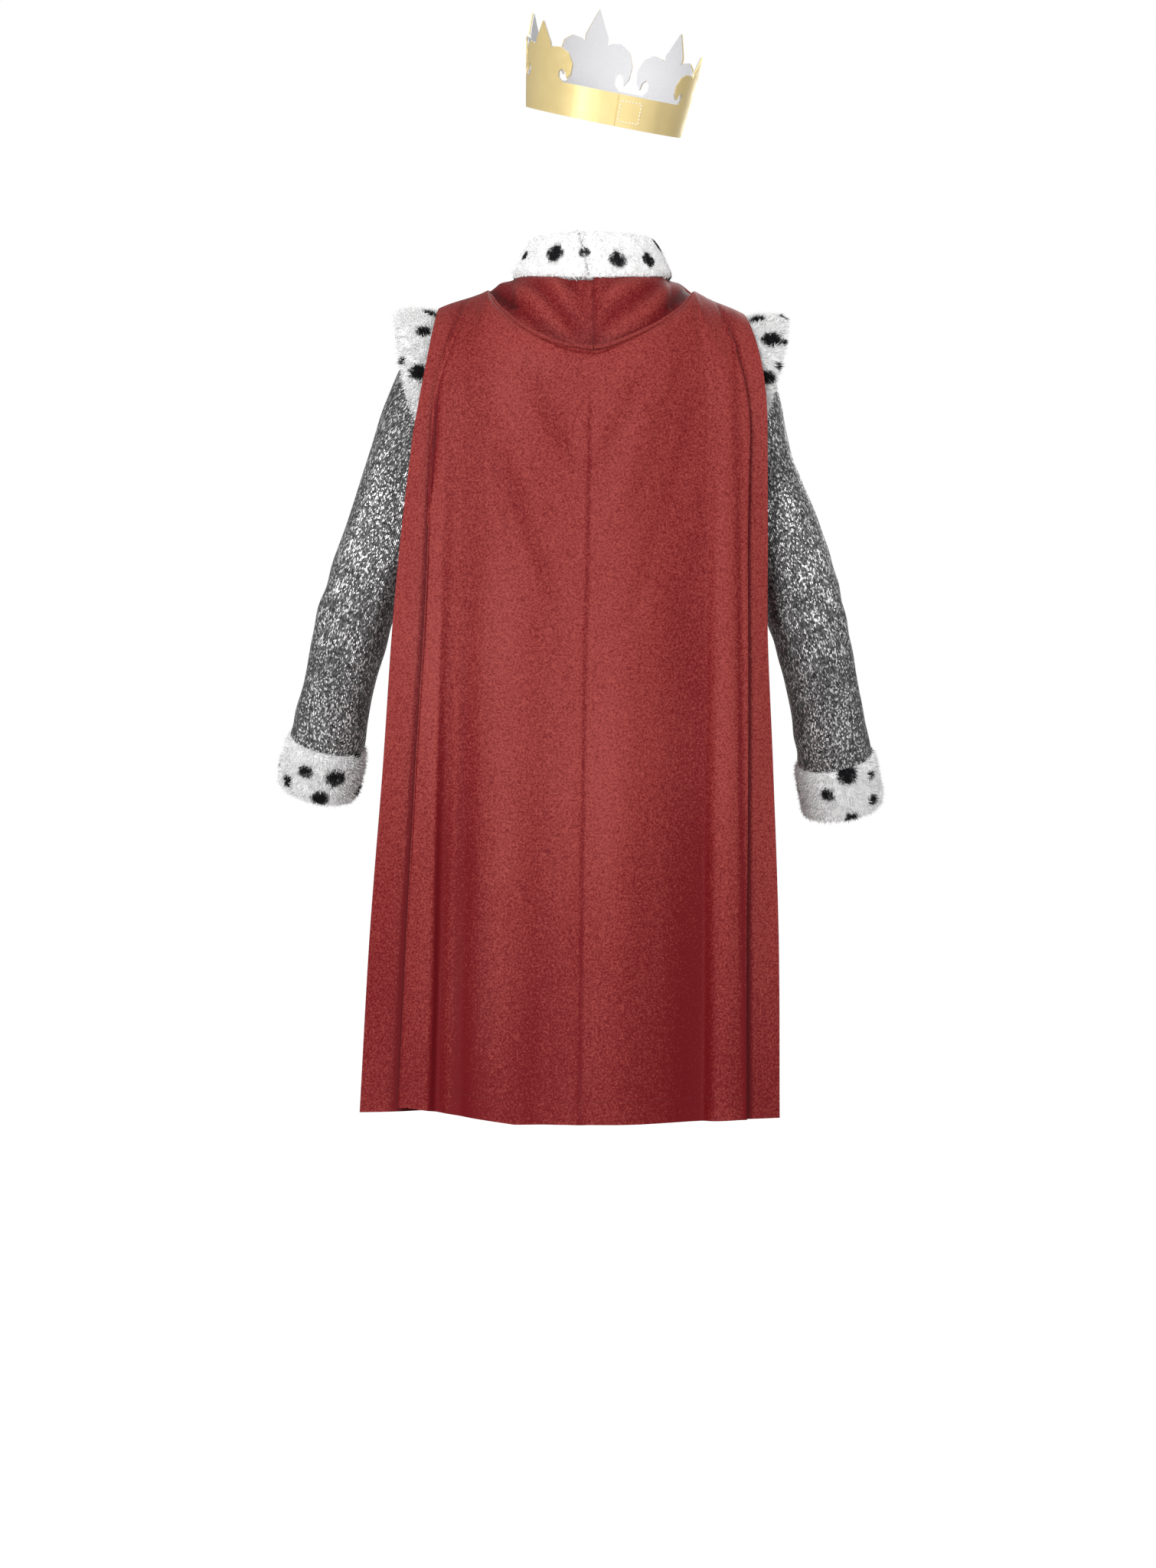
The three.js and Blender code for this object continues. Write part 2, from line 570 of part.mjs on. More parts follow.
const CAPE_COLUMNS = [
  ...steps(2 * PLEAT_KEYS).map((t) => t * PLEAT_KEYS),
  ...steps(BACK_SPANS).slice(1).map((t) => PLEAT_KEYS + t * BACK_SPANS),
];
const CAPE_LEVELS = [
  ...steps(10).map((t) => ({ row: (1 - t) * (CAPE.left.length - 1) })),
  ...steps(7).slice(1).map((t) => ({ turn: QUARTER_TURN * (1 - t) })),
];

// One half of the cape. Both faces of the wall stop at the centre seam.
function capeHalf(side) {
  const grid = CAPE_LEVELS.map((level) => CAPE_COLUMNS.map((column) => capePoint(side, column, level)));
  const seamColumn = CAPE_COLUMNS.length - 1;
  const keepOff = (row) => row[seamColumn].setX(row[seamColumn].x + (side.sign * SEAM_GAP) / 2);
  grid.forEach(keepOff);
  const inner = inset(grid, SATIN, -side.sign);
  inner.forEach((row, i) => row[seamColumn].setX(grid[i][seamColumn].x));
  return wallBetween(grid, inner);
}

// Crown: a strip of gold cloth on a white felt backing, cut into five points and lapped at the back. It stands on the
// head, tipped back and to the right. Angles are from the front, and positive ones are on the wearer's right.
const CROWN = {
  place: [11.5, 5, 142.5],
  tiltBack: 9.7,
  tiltRight: 11.3,
  swing: 11.5,
  halfWidth: 72.5,
  halfDepth: 90,
  flare: 0.0019,
  lean: 0.055,
  band: 29,
  cloth: 1.05,
  layerGap: 0.32,
  underEnd: -200,
  overEnd: 184,
  lapStep: 1.5,
};
const CROWN_POINTS = [
  { angle: -115, height: 79 },
  { angle: -57.5, height: 84 },
  { angle: 0, height: 100 },
  { angle: 57.5, height: 92 },
  { angle: 115, height: 75 },
];
const CROWN_REACH = 27;
const CROWN_RADIUS = 82;

// A place on the crown's outer face: an angle in degrees, a height, and how far inside the face it is.
function crownPlace(angle, height, inwards) {
  const turned = degToRad(angle - CROWN.swing);
  const lapOver = THREE.MathUtils.smoothstep(angle, 146, 158) * CROWN.lapStep;
  const lapUnder = THREE.MathUtils.smoothstep(-angle, 164, 174) * CROWN.lapStep;
  const size = 1 + CROWN.flare * height;
  const off = lapOver - lapUnder - inwards;
  return vector(
    (CROWN.halfWidth * size + off) * Math.sin(turned) - CROWN.lean * height,
    (CROWN.halfDepth * size + off) * Math.cos(turned),
    height,
  );
}

// Half the outline of a point, from its tip down to the band, for a point that rises 51 above the band. A taller point
// is drawn out upwards and is no wider.
const FLEUR = [
  { out: 0, up: 51 },
  { out: 6, up: 41 },
  { out: 11, up: 33 },
  { out: 11, up: 28 },
  { out: 15, up: 30 },
  { out: 24, up: 31 },
  { out: 33, up: 27 },
  { out: 38, up: 18 },
  { out: 37, up: 9 },
  { out: 32.5, up: 4 },
  { out: 31, up: 9 },
  { out: 27, up: 12 },
  { out: 23, up: 9 },
  { out: 23, up: 4 },
  { out: 28, up: 0 },
];

// The same outline at a point of the crown, as angles and heights; `way` is 1 or -1 for its two halves.
function pointOutline(point, way) {
  const size = (point.height - CROWN.band) / FLEUR[0].up;
  return FLEUR.map(({ out, up }) => ({
    angle: point.angle + (way * out * 180) / (Math.PI * CROWN_RADIUS),
    height: CROWN.band + size * up,
  }));
}

// A cutter whose outline, in angle and height, is carried straight out from the crown's axis.
function radialCutter(outline) {
  const flat = outline.map((p) => new THREE.Vector2(p.angle, p.height));
  if (THREE.ShapeUtils.isClockWise(flat)) return radialCutter([...outline].reverse());
  const faces = THREE.ShapeUtils.triangulateShape(flat, []);
  const count = outline.length;
  const position = [-30, 30].flatMap((outwards) =>
    outline.flatMap((p) => crownPlace(p.angle, p.height, -outwards).toArray()),
  );
  const index = faces.flatMap(([a, b, c]) => [a, b, c, c + count, b + count, a + count]);
  for (let k = 0; k < count; k++) {
    const next = (k + 1) % count;
    index.push(k, k + count, next + count, k, next + count, next);
  }
  const geometry = new THREE.BufferGeometry();
  geometry.setAttribute("position", new THREE.Float32BufferAttribute(position, 3));
  geometry.setIndex(volumeOf(position, index) < 0 ? index.reverse() : index);
  return geometry;
}

function solidOf(geometry) {
  const merged = mergeVertices(geometry, 1e-3);
  return new wasm.Manifold(
    new wasm.Mesh({
      numProp: 3,
      vertProperties: merged.attributes.position.array,
      triVerts: new Uint32Array(merged.index.array),
    }),
  );
}

function geometryOf(solid) {
  const mesh = solid.getMesh();
  const geometry = new THREE.BufferGeometry();
  geometry.setAttribute("position", new THREE.BufferAttribute(mesh.vertProperties, 3));
  geometry.setIndex(new THREE.BufferAttribute(mesh.triVerts, 1));
  return geometry;
}

const CROWN_TOP = 112;
const CLEAR_TOP = 130;
const CLEAR_OVER = 3;

// The outline of the empty space between two neighbouring points, or beside an end point where `next` is missing.
function crownGap(point, next, direction) {
  const near = pointOutline(point, direction);
  if (next) {
    const far = pointOutline(next, -direction);
    const over = [next.angle + CLEAR_OVER, point.angle - CLEAR_OVER].map((angle) => ({ angle, height: CLEAR_TOP }));
    return [...near, ...far.reverse(), ...over];
  }
  const end = point.angle + direction * (CROWN_REACH + 8);
  return [
    ...near,
    { angle: end, height: CROWN.band },
    { angle: end, height: CLEAR_TOP },
    { angle: point.angle - direction * CLEAR_OVER, height: CLEAR_TOP },
  ];
}

// One layer of the crown, `depth` inside the outer face: a ring wall, low over the strap ends, cut between the points.
function crownLayer(depth) {
  const span = CROWN.overEnd - CROWN.underEnd;
  const angles = steps(48).map((t) => CROWN.underEnd + t * span);
  const reach = CROWN_POINTS.at(-1).angle + CROWN_REACH;
  const topAt = (angle) => (Math.abs(angle) < reach ? CROWN_TOP : CROWN.band);
  const sheet = (inwards) =>
    steps(2).map((t) => angles.map((angle) => crownPlace(angle, t * topAt(angle), inwards)));
  const ring = solidOf(wallBetween(sheet(depth), sheet(depth + CROWN.cloth)));
  const last = CROWN_POINTS.length - 1;
  const gaps = CROWN_POINTS.slice(0, -1).map((point, i) => crownGap(point, CROWN_POINTS[i + 1], 1));
  gaps.push(crownGap(CROWN_POINTS[0], null, -1), crownGap(CROWN_POINTS[last], null, 1));
  return geometryOf(gaps.reduce((left, gap) => left.subtract(solidOf(radialCutter(gap))), ring));
}

// Materials
const finish = (color, roughness, metalness) => new THREE.MeshStandardMaterial({ color, roughness, metalness });
const redSatin = finish("#a33238", 0.55, 0);
const glitterKnit = finish("#6d6b70", 0.45, 0.6);
const spottedFur = finish("#efeeec", 0.95, 0);
const goldCloth = finish("#d3b060", 0.3, 1);
const whiteFelt = finish("#e6e4e4", 0.9, 0);

const costume = new THREE.Group();

function piece(name, geometry, material, parent = costume) {
  const mesh = new THREE.Mesh(geometry, material);
  mesh.name = name;
  parent.add(mesh);
}

piece("tunic_front", tunicFront(), redSatin);
for (const [name, side] of Object.entries(SIDES)) {
  piece(`tunic_back_${name}`, tunicBack(side), redSatin);
  piece(`sleeve_${name}`, sleeve(side), glitterKnit);
  piece(`cuff_${name}`, cuff(side), spottedFur);
  piece(`shoulder_wing_${name}`, wing(side), spottedFur);
  piece(`cape_${name}`, capeHalf(side), redSatin);
}
piece("collar", collar(), spottedFur);

const crown = new THREE.Group();
crown.position.set(...CROWN.place);
crown.rotation.set(degToRad(CROWN.tiltBack), degToRad(CROWN.tiltRight), 0);
costume.add(crown);
piece("crown_face", crownLayer(0), goldCloth, crown);
piece("crown_backing", crownLayer(CROWN.cloth + CROWN.layerGap), whiteFelt, crown);

export default costume;
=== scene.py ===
import math

import bmesh
import bpy
import numpy as np
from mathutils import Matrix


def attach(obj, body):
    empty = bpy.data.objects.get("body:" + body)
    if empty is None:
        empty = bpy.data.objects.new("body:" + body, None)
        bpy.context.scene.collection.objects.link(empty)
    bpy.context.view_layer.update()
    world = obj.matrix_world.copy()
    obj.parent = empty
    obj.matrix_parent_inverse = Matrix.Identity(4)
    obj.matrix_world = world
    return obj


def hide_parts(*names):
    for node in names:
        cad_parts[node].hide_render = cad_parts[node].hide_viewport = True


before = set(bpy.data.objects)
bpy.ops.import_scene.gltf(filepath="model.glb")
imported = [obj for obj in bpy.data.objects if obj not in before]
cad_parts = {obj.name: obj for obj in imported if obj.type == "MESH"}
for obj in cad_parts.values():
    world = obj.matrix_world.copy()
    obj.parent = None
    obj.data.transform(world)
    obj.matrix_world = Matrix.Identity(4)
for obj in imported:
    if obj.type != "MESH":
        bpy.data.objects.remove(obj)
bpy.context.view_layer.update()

# Camera, floor and light
# A level camera four metres behind the costume, a pale floor well below its hem, and soft studio light. The
# picture is 1510 by 2048 pixels, and each of them holds 0.70 mm of the plane through the shoulders.
MM = 0.001
CAMERA_AT = (-0.0119, -4.0, -0.4634)
PICTURE_HEIGHT = 2048
PIXEL = 0.0007
SENSOR = 36
FLOOR_Z = -1.156

camera = bpy.data.objects.new("camera", bpy.data.cameras.new("camera"))
camera.location = CAMERA_AT
camera.rotation_euler = (math.radians(90), 0, 0)
camera.data.sensor_fit = "AUTO"
camera.data.sensor_width = SENSOR
camera.data.lens = SENSOR * -CAMERA_AT[1] / (PICTURE_HEIGHT * PIXEL)
bpy.context.scene.collection.objects.link(camera)
bpy.context.scene.camera = camera
bpy.context.scene.view_settings.view_transform = "Standard"


def feed(tree, made, values):
    """Sets each named or numbered input of a node to a plain value, or links it to a socket."""
    for key, value in values.items():
        if isinstance(value, bpy.types.NodeSocket):
            tree.links.new(value, made.inputs[key])
        else:
            made.inputs[key].default_value = value


def node(tree, kind, values=(), **settings):
    """A new node of a tree, with settings on it and its inputs fed from values."""
    made = tree.nodes.new(kind)
    for key, value in settings.items():
        setattr(made, key, value)
    feed(tree, made, dict(values))
    return made


def ranged(tree, value, low, high, to_low, to_high, **settings):
    """A value carried from the range low to high into the range to_low to to_high, and kept inside it."""
    values = {0: value, 1: low, 2: high, 3: to_low, 4: to_high}
    return node(tree, "ShaderNodeMapRange", values, **settings).outputs[0]


def backdrop_glow(tree, lighting, seen):
    """The number seen for rays straight from the camera, and the number lighting for all the others."""
    return ranged(tree, node(tree, "ShaderNodeLightPath").outputs["Is Camera Ray"], 0, 1, lighting, seen)


bpy.ops.mesh.primitive_plane_add(size=60, location=(0, 0, FLOOR_Z))
floor = bpy.context.object
floor.name = "floor"
floor_material = bpy.data.materials.new("floor")
floor_material.use_nodes = True
floor_tree = floor_material.node_tree
floor_finish = {
    "Base Color": (0.55, 0.55, 0.55, 1),
    "Roughness": 0.8,
    "Specular IOR Level": 0.1,
    "Emission Strength": 1.0,
    "Emission Color": backdrop_glow(floor_tree, 0.12, 0.85),
}
feed(floor_tree, floor_tree.nodes["Principled BSDF"], floor_finish)
floor.data.materials.append(floor_material)

world = bpy.data.worlds.new("studio")
world.use_nodes = True
sky = world.node_tree
feed(sky, sky.nodes["Background"], {"Color": (1, 1, 1, 1), "Strength": backdrop_glow(sky, 0.36, 1.0)})
bpy.context.scene.world = world


def softbox(name, at, aim, size, power):
    """A square area light of that size at a place, turned to shine at another."""
    light = bpy.data.lights.new(name, "AREA")
    light.size = size
    light.energy = power
    lamp = bpy.data.objects.new(name, light)
    lamp.location = at
    away = np.array(at, float) - np.array(aim, float)
    flat = math.hypot(away[0], away[1])
    lamp.rotation_euler = (math.atan2(flat, away[2]), 0, math.atan2(away[0], -away[1]))
    bpy.context.scene.collection.objects.link(lamp)


softbox("key_light", (-1.3, -4.0, 1.1), (0, 0, -0.35), 1.3, 125)
softbox("fill_light", (2.2, -3.6, 0.3), (0, 0, -0.4), 1.6, 44)
softbox("top_light", (0, -0.6, 2.6), (0, 0, -0.2), 1.4, 12)
softbox("front_light", (0.8, 3.2, 1.2), (0, 0, -0.4), 2.0, 44)
softbox("low_light", (-1.9, -1.7, -0.85), (0, 0, 0.1), 0.5, 9)

# Tunic
# A flared red tunic of soft satin velour, closed at the neck: one front without a waist seam, and two backs,
# the right one lapped over the left one. A row of the table is a level section, from hem to underarm.
SATIN = 1.6
SIDE_NAME = {-1: "left", 1: "right"}
SHOULDER_Z = {-1: -36.0, 1: -41.0}
UNDERARM_Z = -150
TUNIC = dict(
    z=[-725, -610, -490, -380, -300, -220, UNDERARM_Z],
    half_width=[152, 144, 132, 118, 113, 115, 118],
    front=[114, 108, 101, 94, 90, 91, 92],
    back=[104, 100, 96, 90, 88, 91, 91],
    flute=[5, 3.5, 2, 0.8, 0, 0, 0],
)
CHEST = dict(z=-95, front=88, back=89)
ARMHOLE = dict(top_x=139, mid_x=112, front=46, back=48)
NECK = dict(half_width=68, front=67, back=60, side_z=-1.5, front_z=-34, back_z=-7)
TUNIC_ROWS = dict(skirt=44, chest=30)
EDGE_GAP = 0.02


def lerp(a, b, t):
    """The value that is the share t of the way from a to b."""
    return a + (b - a) * t


def smooth(x, low, high):
    """0 below low, 1 above high, and an S curve between them."""
    t = np.clip((np.asarray(x, float) - low) / (high - low), 0, 1)
    return t * t * (3 - 2 * t)


def curve(v, at):
    """The Catmull-Rom curve through v's rows at fractional row numbers, carried straight on past its ends."""
    v, at = np.asarray(v, float), np.asarray(at, float)
    i = np.clip(np.floor(at).astype(int), 0, len(v) - 2)
    t = (at - i).reshape(at.shape + (1,) * (v.ndim - 1))
    v = np.concatenate([2 * v[:1] - v[1:2], v, 2 * v[-1:] - v[-2:-1]])
    a, b, c, d = [v[i + k] for k in range(4)]
    return b + t / 2 * (c - a + t * (2 * a - 5 * b + 4 * c - d + t * (3 * (b - c) + d - a)))


def along(table, at):
    """Every named column of a table, at the fractional row numbers in at."""
    return {name: curve(values, at) for name, values in table.items()}


def point(x, y, z):
    """One array of points from three arrays that fit together."""
    return np.stack(np.broadcast_arrays(np.asarray(x, float), y, z), axis=-1)


def unit(vectors):
    """Each vector divided by its length."""
    return vectors / np.linalg.norm(vectors, axis=-1, keepdims=True)


def ripple(p, seed, wave, size):
    """A smooth random height at each point: the sum of six sine waves in random directions, each about wave
    mm long, which stays within twice size in mm."""
    rng = np.random.default_rng(seed)
    total = 0
    for _ in range(6):
        heading = rng.normal(size=3)
        heading *= 2 * math.pi / wave * rng.uniform(0.6, 1.5) / np.linalg.norm(heading)
        total = total + np.sin(p @ heading + rng.uniform(0, 6.28))
    return total * size / 3


def normals_of(grid, facing, ring=False):
    """The unit normal of a grid of points: the turn from the step across to the step up, times facing."""
    if ring:
        across = np.roll(grid, -1, axis=1) - np.roll(grid, 1, axis=1)
    else:
        across = np.gradient(grid, axis=1)
    normal = np.cross(across, np.gradient(grid, axis=0))
    return facing * normal / (np.linalg.norm(normal, axis=-1, keepdims=True) + 1e-9)


def mesh_object(name, vertices, faces, uv=None):
    """A smooth-shaded mesh object from points in mm, with a UV for each corner of each face."""
    mesh = bpy.data.meshes.new(name)
    mesh.from_pydata((np.asarray(vertices) * MM).tolist(), [], faces)
    if uv is not None:
        mesh.uv_layers.new(name="cloth").data.foreach_set("uv", np.asarray(uv, float).ravel())
    mesh.shade_smooth()
    mesh.set_sharp_from_angle(angle=math.radians(50))
    made = bpy.data.objects.new(name, mesh)
    bpy.context.scene.collection.objects.link(made)
    return made


def quads(a, b, c, d):
    """Four-sided faces from four equal arrays of vertex numbers."""
    return np.stack([a, b, c, d], axis=-1).reshape(-1, 4)


def wall_faces(outer, inner, ring):
    """The faces of a closed wall from its two grids of vertex numbers: both sides, the first and last rows,
    and both edges unless it is a ring."""
    faces = [
        quads(outer[:-1, :-1], outer[:-1, 1:], outer[1:, 1:], outer[1:, :-1]),
        quads(inner[1:, :-1], inner[1:, 1:], inner[:-1, 1:], inner[:-1, :-1]),
        quads(inner[0, :-1], inner[0, 1:], outer[0, 1:], outer[0, :-1]),
        quads(outer[-1, :-1], outer[-1, 1:], inner[-1, 1:], inner[-1, :-1]),
    ]
    if not ring:
        faces += [quads(outer[:-1, 0], outer[1:, 0], inner[1:, 0], inner[:-1, 0])]
        faces += [quads(inner[:-1, -1], inner[1:, -1], outer[1:, -1], outer[:-1, -1])]
    return np.concatenate(faces)


def shell(name, outer, inner, ring=False):
    """A closed wall between two grids of the same shape. Its UV runs in metres along rows and columns."""
    rows, columns = outer.shape[:2]
    turns = columns if ring else columns - 1
    number = np.arange(2 * rows * columns).reshape(2, rows, columns)
    corner = np.arange(2 * rows * (turns + 1)).reshape(2, rows, turns + 1)
    wrapped = outer
    if ring:
        wrapped = np.concatenate([outer, outer[:, :1]], axis=1)
        number = np.concatenate([number, number[:, :, :1]], axis=2)
    u = np.linalg.norm(np.diff(wrapped, axis=1, prepend=wrapped[:, :1]), axis=-1).cumsum(axis=1)
    v = np.linalg.norm(np.diff(wrapped, axis=0, prepend=wrapped[:1]), axis=-1).cumsum(axis=0).mean(axis=1)
    uv = np.stack([u - u[:, turns // 2, None], v[:, None] + 0 * u], axis=-1).reshape(-1, 2) * MM
    uv = np.tile(uv, (2, 1))
    faces, uv_faces = wall_faces(*number, ring), wall_faces(*corner, ring)
    vertices = np.concatenate([outer.reshape(-1, 3), inner.reshape(-1, 3)])
    a, b, c, d = [vertices[faces[:, k]] for k in range(4)]
    if np.einsum("ij,ij->", a, np.cross(b, c) + np.cross(c, d)) < 0:
        faces, uv_faces = faces[:, ::-1], uv_faces[:, ::-1]
    return mesh_object(name, vertices, faces.tolist(), uv[uv_faces.ravel()])


def inset(grid, depth, facing, ring=False):
    """A grid moved inwards along its normals by depth, a number or an array over the grid."""
    depth = np.broadcast_to(np.asarray(depth, float), grid.shape[:2])[..., None]
    return grid - normals_of(grid, facing, ring) * depth


def armhole_point(side, facing, turn):
    """The armhole seam: turn 0 is the shoulder, a quarter turn the chest and a half turn the underarm."""
    c, s = np.cos(turn), np.sin(turn)
    depth = np.where(np.asarray(facing) > 0, ARMHOLE["front"], ARMHOLE["back"])
    upper = lerp(ARMHOLE["mid_x"], ARMHOLE["top_x"], c)
    lower = lerp(TUNIC["half_width"][-1], ARMHOLE["mid_x"], s)
    z = lerp(CHEST["z"], np.where(c >= 0, SHOULDER_Z[side], UNDERARM_Z), abs(c))
    return point(side * np.where(c >= 0, upper, lower), facing * depth * s, z)


def neck_z(cosine):
    """The height of the neck seam where cosine is 1 at the front, 0 at the sides and -1 at the back."""
    return lerp(NECK["side_z"], np.where(cosine > 0, NECK["front_z"], NECK["back_z"]), cosine * cosine)


def shoulder_point(side, out):
    """The shoulder seam, out mm from the middle of the neck."""
    share = (out - NECK["half_width"]) / (ARMHOLE["top_x"] - NECK["half_width"])
    return point(side * out, 0, lerp(NECK["side_z"], SHOULDER_Z[side], share))


def tunic_grid(facing, across):
    """A tunic panel's outer face: a level section for each row of the skirt, then rows that close in on the
    armhole, the shoulder seam and the neck. across is -1 at the left side seam and 1 at the right one."""
    u = np.asarray(across, float)[None, :]
    face = "front" if facing > 0 else "back"
    sine = np.sign(u) * np.sin(abs(u) * math.pi / 2) ** 0.87
    cosine = np.maximum(0, np.cos(u * math.pi / 2)) ** 0.87
    at = np.linspace(0, 6, TUNIC_ROWS["skirt"], endpoint=False)[:, None]
    s = along(TUNIC, at)
    wave = s["flute"] * np.cos(7 * math.pi * u) * cosine if facing > 0 else 0
    skirt = point(sine * s["half_width"], facing * (cosine * s[face] + wave), s["z"])

    turn = np.linspace(math.pi, 0, TUNIC_ROWS["chest"] + 1)[:, None] + 0 * u
    chest_turn = np.maximum(turn, math.pi / 2)
    left, right = armhole_point(-1, facing, chest_turn), armhole_point(1, facing, chest_turn)
    edge = np.where(u[..., None] < 0, left, right)
    rise = (math.pi - chest_turn) / (math.pi / 2)
    depth = facing * lerp(TUNIC[face][-1], CHEST[face], rise)
    chest = point(
        sine * abs(edge[..., 0]),
        lerp(edge[..., 1], depth, cosine),
        lerp(lerp(UNDERARM_Z, CHEST["z"], rise), edge[..., 2], u**4),
    )
    angle = np.minimum(abs(u) / 0.5, 1) * math.pi / 2
    neck = point(
        np.sign(u) * NECK["half_width"] * np.sin(angle),
        facing * NECK[face] * np.cos(angle),
        neck_z(facing * np.cos(angle)),
    )
    out = lerp(NECK["half_width"], ARMHOLE["top_x"], np.clip((abs(u) - 0.5) / 0.5, 0, 1))
    shoulder = np.where(u[..., None] < 0, shoulder_point(-1, out), shoulder_point(1, out))
    top = np.where((abs(u) <= 0.5)[..., None], neck, shoulder)
    up, slope = np.cos(np.minimum(turn, math.pi / 2)), lerp(1.25, 1, u**4)
    fall = np.sin(np.minimum(turn, math.pi / 2)) ** slope
    yoke = point(
        lerp(chest[..., 0], top[..., 0], up),
        lerp(top[..., 1], chest[..., 1], fall),
        lerp(chest[..., 2], top[..., 2], up),
    )
    upper = np.where((turn >= math.pi / 2)[..., None], chest, yoke)
    beside_cape = np.exp(-(((abs(upper[..., 0]) - 82) / 7) ** 2) - (upper[..., 1] / 22) ** 2)
    upper[..., 2] += 2.6 * beside_cape * smooth(upper[..., 2], -70, -35)
    return keep_side(np.concatenate([skirt, upper]), facing)


def keep_side(grid, facing):
    """The same grid, kept on its own side of the side and shoulder seams, where sewn edges all but touch."""
    grid = grid.copy()
    grid[..., 1] = facing * np.maximum(facing * grid[..., 1], EDGE_GAP)
    return grid


def body_piece(made, material, replaced=()):
    """Puts a piece on the root body with its material and slot, in place of the CAD nodes it stands for."""
    made.data.materials.append(material)
    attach(made, "root")
    if replaced:
        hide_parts(*replaced)


def set_painted_shade(made, fold):
    """Stores on both faces of a shell its painted shade, in the attribute fold: 0 on the open face, 1
    darkest, deep inside a fold.
    """
    values = np.tile(np.clip(fold, 0, 1).ravel(), 2)
    made.data.attributes.new("fold", "FLOAT", "POINT").data.foreach_set("value", values)


def node_group(name, colours, numbers=(), outputs=("Roughness", "Height")):
    """An empty shader node group with named colour and number inputs, a Color output and the named number
    outputs. Returned with its two end nodes."""
    group = bpy.data.node_groups.new(name, "ShaderNodeTree")
    colour_kind, number_kind = "NodeSocketColor", "NodeSocketFloat"
    sockets = [(label, "INPUT", colour_kind) for label in colours]
    sockets += [(label, "INPUT", number_kind) for label in numbers]
    sockets += [("Color", "OUTPUT", colour_kind)] + [(label, "OUTPUT", number_kind) for label in outputs]
    for label, way, kind in sockets:
        group.interface.new_socket(name=label, in_out=way, socket_type=kind)
    return group, group.nodes.new("NodeGroupInput"), group.nodes.new("NodeGroupOutput")


def maths(tree, operation, a, b, **settings):
    """The sum, difference, product or the like of two sockets or numbers."""
    return node(tree, "ShaderNodeMath", {0: a, 1: b}, operation=operation, **settings).outputs[0]


def noise(tree, place, scale, detail, rough=0.5, bent=0.0):
    """A cloudy random value that changes smoothly with the place."""
    values = {"Vector": place, "Scale": scale, "Detail": detail, "Roughness": rough, "Distortion": bent}
    return node(tree, "ShaderNodeTexNoise", values).outputs[0]


def waves(tree, place, direction, scale, bent):
    """Parallel soft bands across a direction, a little bent."""
    values = {"Vector": place, "Scale": scale, "Distortion": bent, "Detail": 2}
    return node(tree, "ShaderNodeTexWave", values, bands_direction=direction).outputs[1]


def mixed(tree, share, first, second):
    """The colour that is the share of the way from the first colour to the second."""
    return node(tree, "ShaderNodeMix", {0: share, 6: first, 7: second}, data_type="RGBA").outputs[2]


def scaled(tree, colour, factor):
    """A colour multiplied by a factor."""
    return node(tree, "ShaderNodeVectorMath", {0: colour, "Scale": factor}, operation="SCALE").outputs[0]


def pile_group():
    """A short brushed pile: a fine grain, a faint cross weave and broad soft strokes. Painted shade darkens
    it towards the hem and in the folds, and most along their crisp creases."""
    group, start, end = node_group("brushed_pile", ["Light", "Dark"], ["Grain"])
    place = node(group, "ShaderNodeTexCoord").outputs["Object"]
    height = node(group, "ShaderNodeSeparateXYZ", {0: place}).outputs[2]
    # Painted shade: the pile is darker towards the bottom of the costume.
    hem = ranged(group, height, -0.74, -0.42, -0.34, 0.0, interpolation_type="SMOOTHSTEP")
    grain = noise(group, place, 620, 3, 0.7)
    weave = maths(group, "MULTIPLY", waves(group, place, "Z", 230, 1.5), 0.06)
    drawn_out = node(group, "ShaderNodeMapping", {"Vector": place, "Scale": (1.0, 1.0, 0.42)})
    strokes = noise(group, drawn_out.outputs[0], 8, 3)
    # The fold attribute holds painted shade: the pile darkens in folds, and near crisp creases it is painted
    # close to black.
    painted_fold_shade = node(group, "ShaderNodeAttribute", attribute_name="fold").outputs["Fac"]
    fleck = maths(group, "MULTIPLY", maths(group, "SUBTRACT", grain, 0.5), start.outputs["Grain"])
    tone = maths(group, "ADD", ranged(group, strokes, 0.3, 0.7, 0.42, 0.74), fleck)
    tone = maths(group, "ADD", tone, hem)
    tone = maths(group, "ADD", tone, maths(group, "MULTIPLY", painted_fold_shade, -0.75))
    tone = maths(group, "ADD", tone, weave, use_clamp=True)
    colour = mixed(group, tone, start.outputs["Dark"], start.outputs["Light"])
    look = {
        "Color": scaled(group, colour, ranged(group, painted_fold_shade, 0.84, 1.0, 1.0, 0.52)),
        "Roughness": ranged(group, strokes, 0.3, 0.7, 0.62, 0.48),
        "Height": maths(group, "ADD", grain, weave),
    }
    feed(group, end, look)
    return group


def cloth_material(name, group, colours, bump, finish=()):
    """A Principled material fed by a group that gives Color, Roughness, Height and at times Metallic. colours
    are the group's own inputs, and finish the shader's plain ones."""
    material = bpy.data.materials.new(name)
    material.use_nodes = True
    tree = material.node_tree
    look = node(tree, "ShaderNodeGroup", colours, node_tree=group).outputs
    relief = node(tree, "ShaderNodeBump", {"Height": look["Height"], "Strength": bump, "Distance": 0.0006})
    values = {"Base Color": look["Color"], "Roughness": look["Roughness"], "Normal": relief.outputs[0]}
    values.update({"Sheen Roughness": 0.45, **dict(finish)})
    if "Metallic" in look:
        values["Metallic"] = look["Metallic"]
    feed(tree, tree.nodes["Principled BSDF"], values)
    return material


# Light and Dark are the satin's lit and shaded colours: its random tone mixes them, and so do the painted
# shade towards the hem and the painted shade in folds.
red_satin = cloth_material(
    "red_satin",
    pile_group(),
    {"Light": (0.305, 0.050, 0.043, 1), "Dark": (0.128, 0.003, 0.006, 1), "Grain": 3.4},
    0.5,
    {"Sheen Weight": 0.04, "Sheen Tint": (1.0, 0.6, 0.5, 1), "Specular IOR Level": 0.11},
)

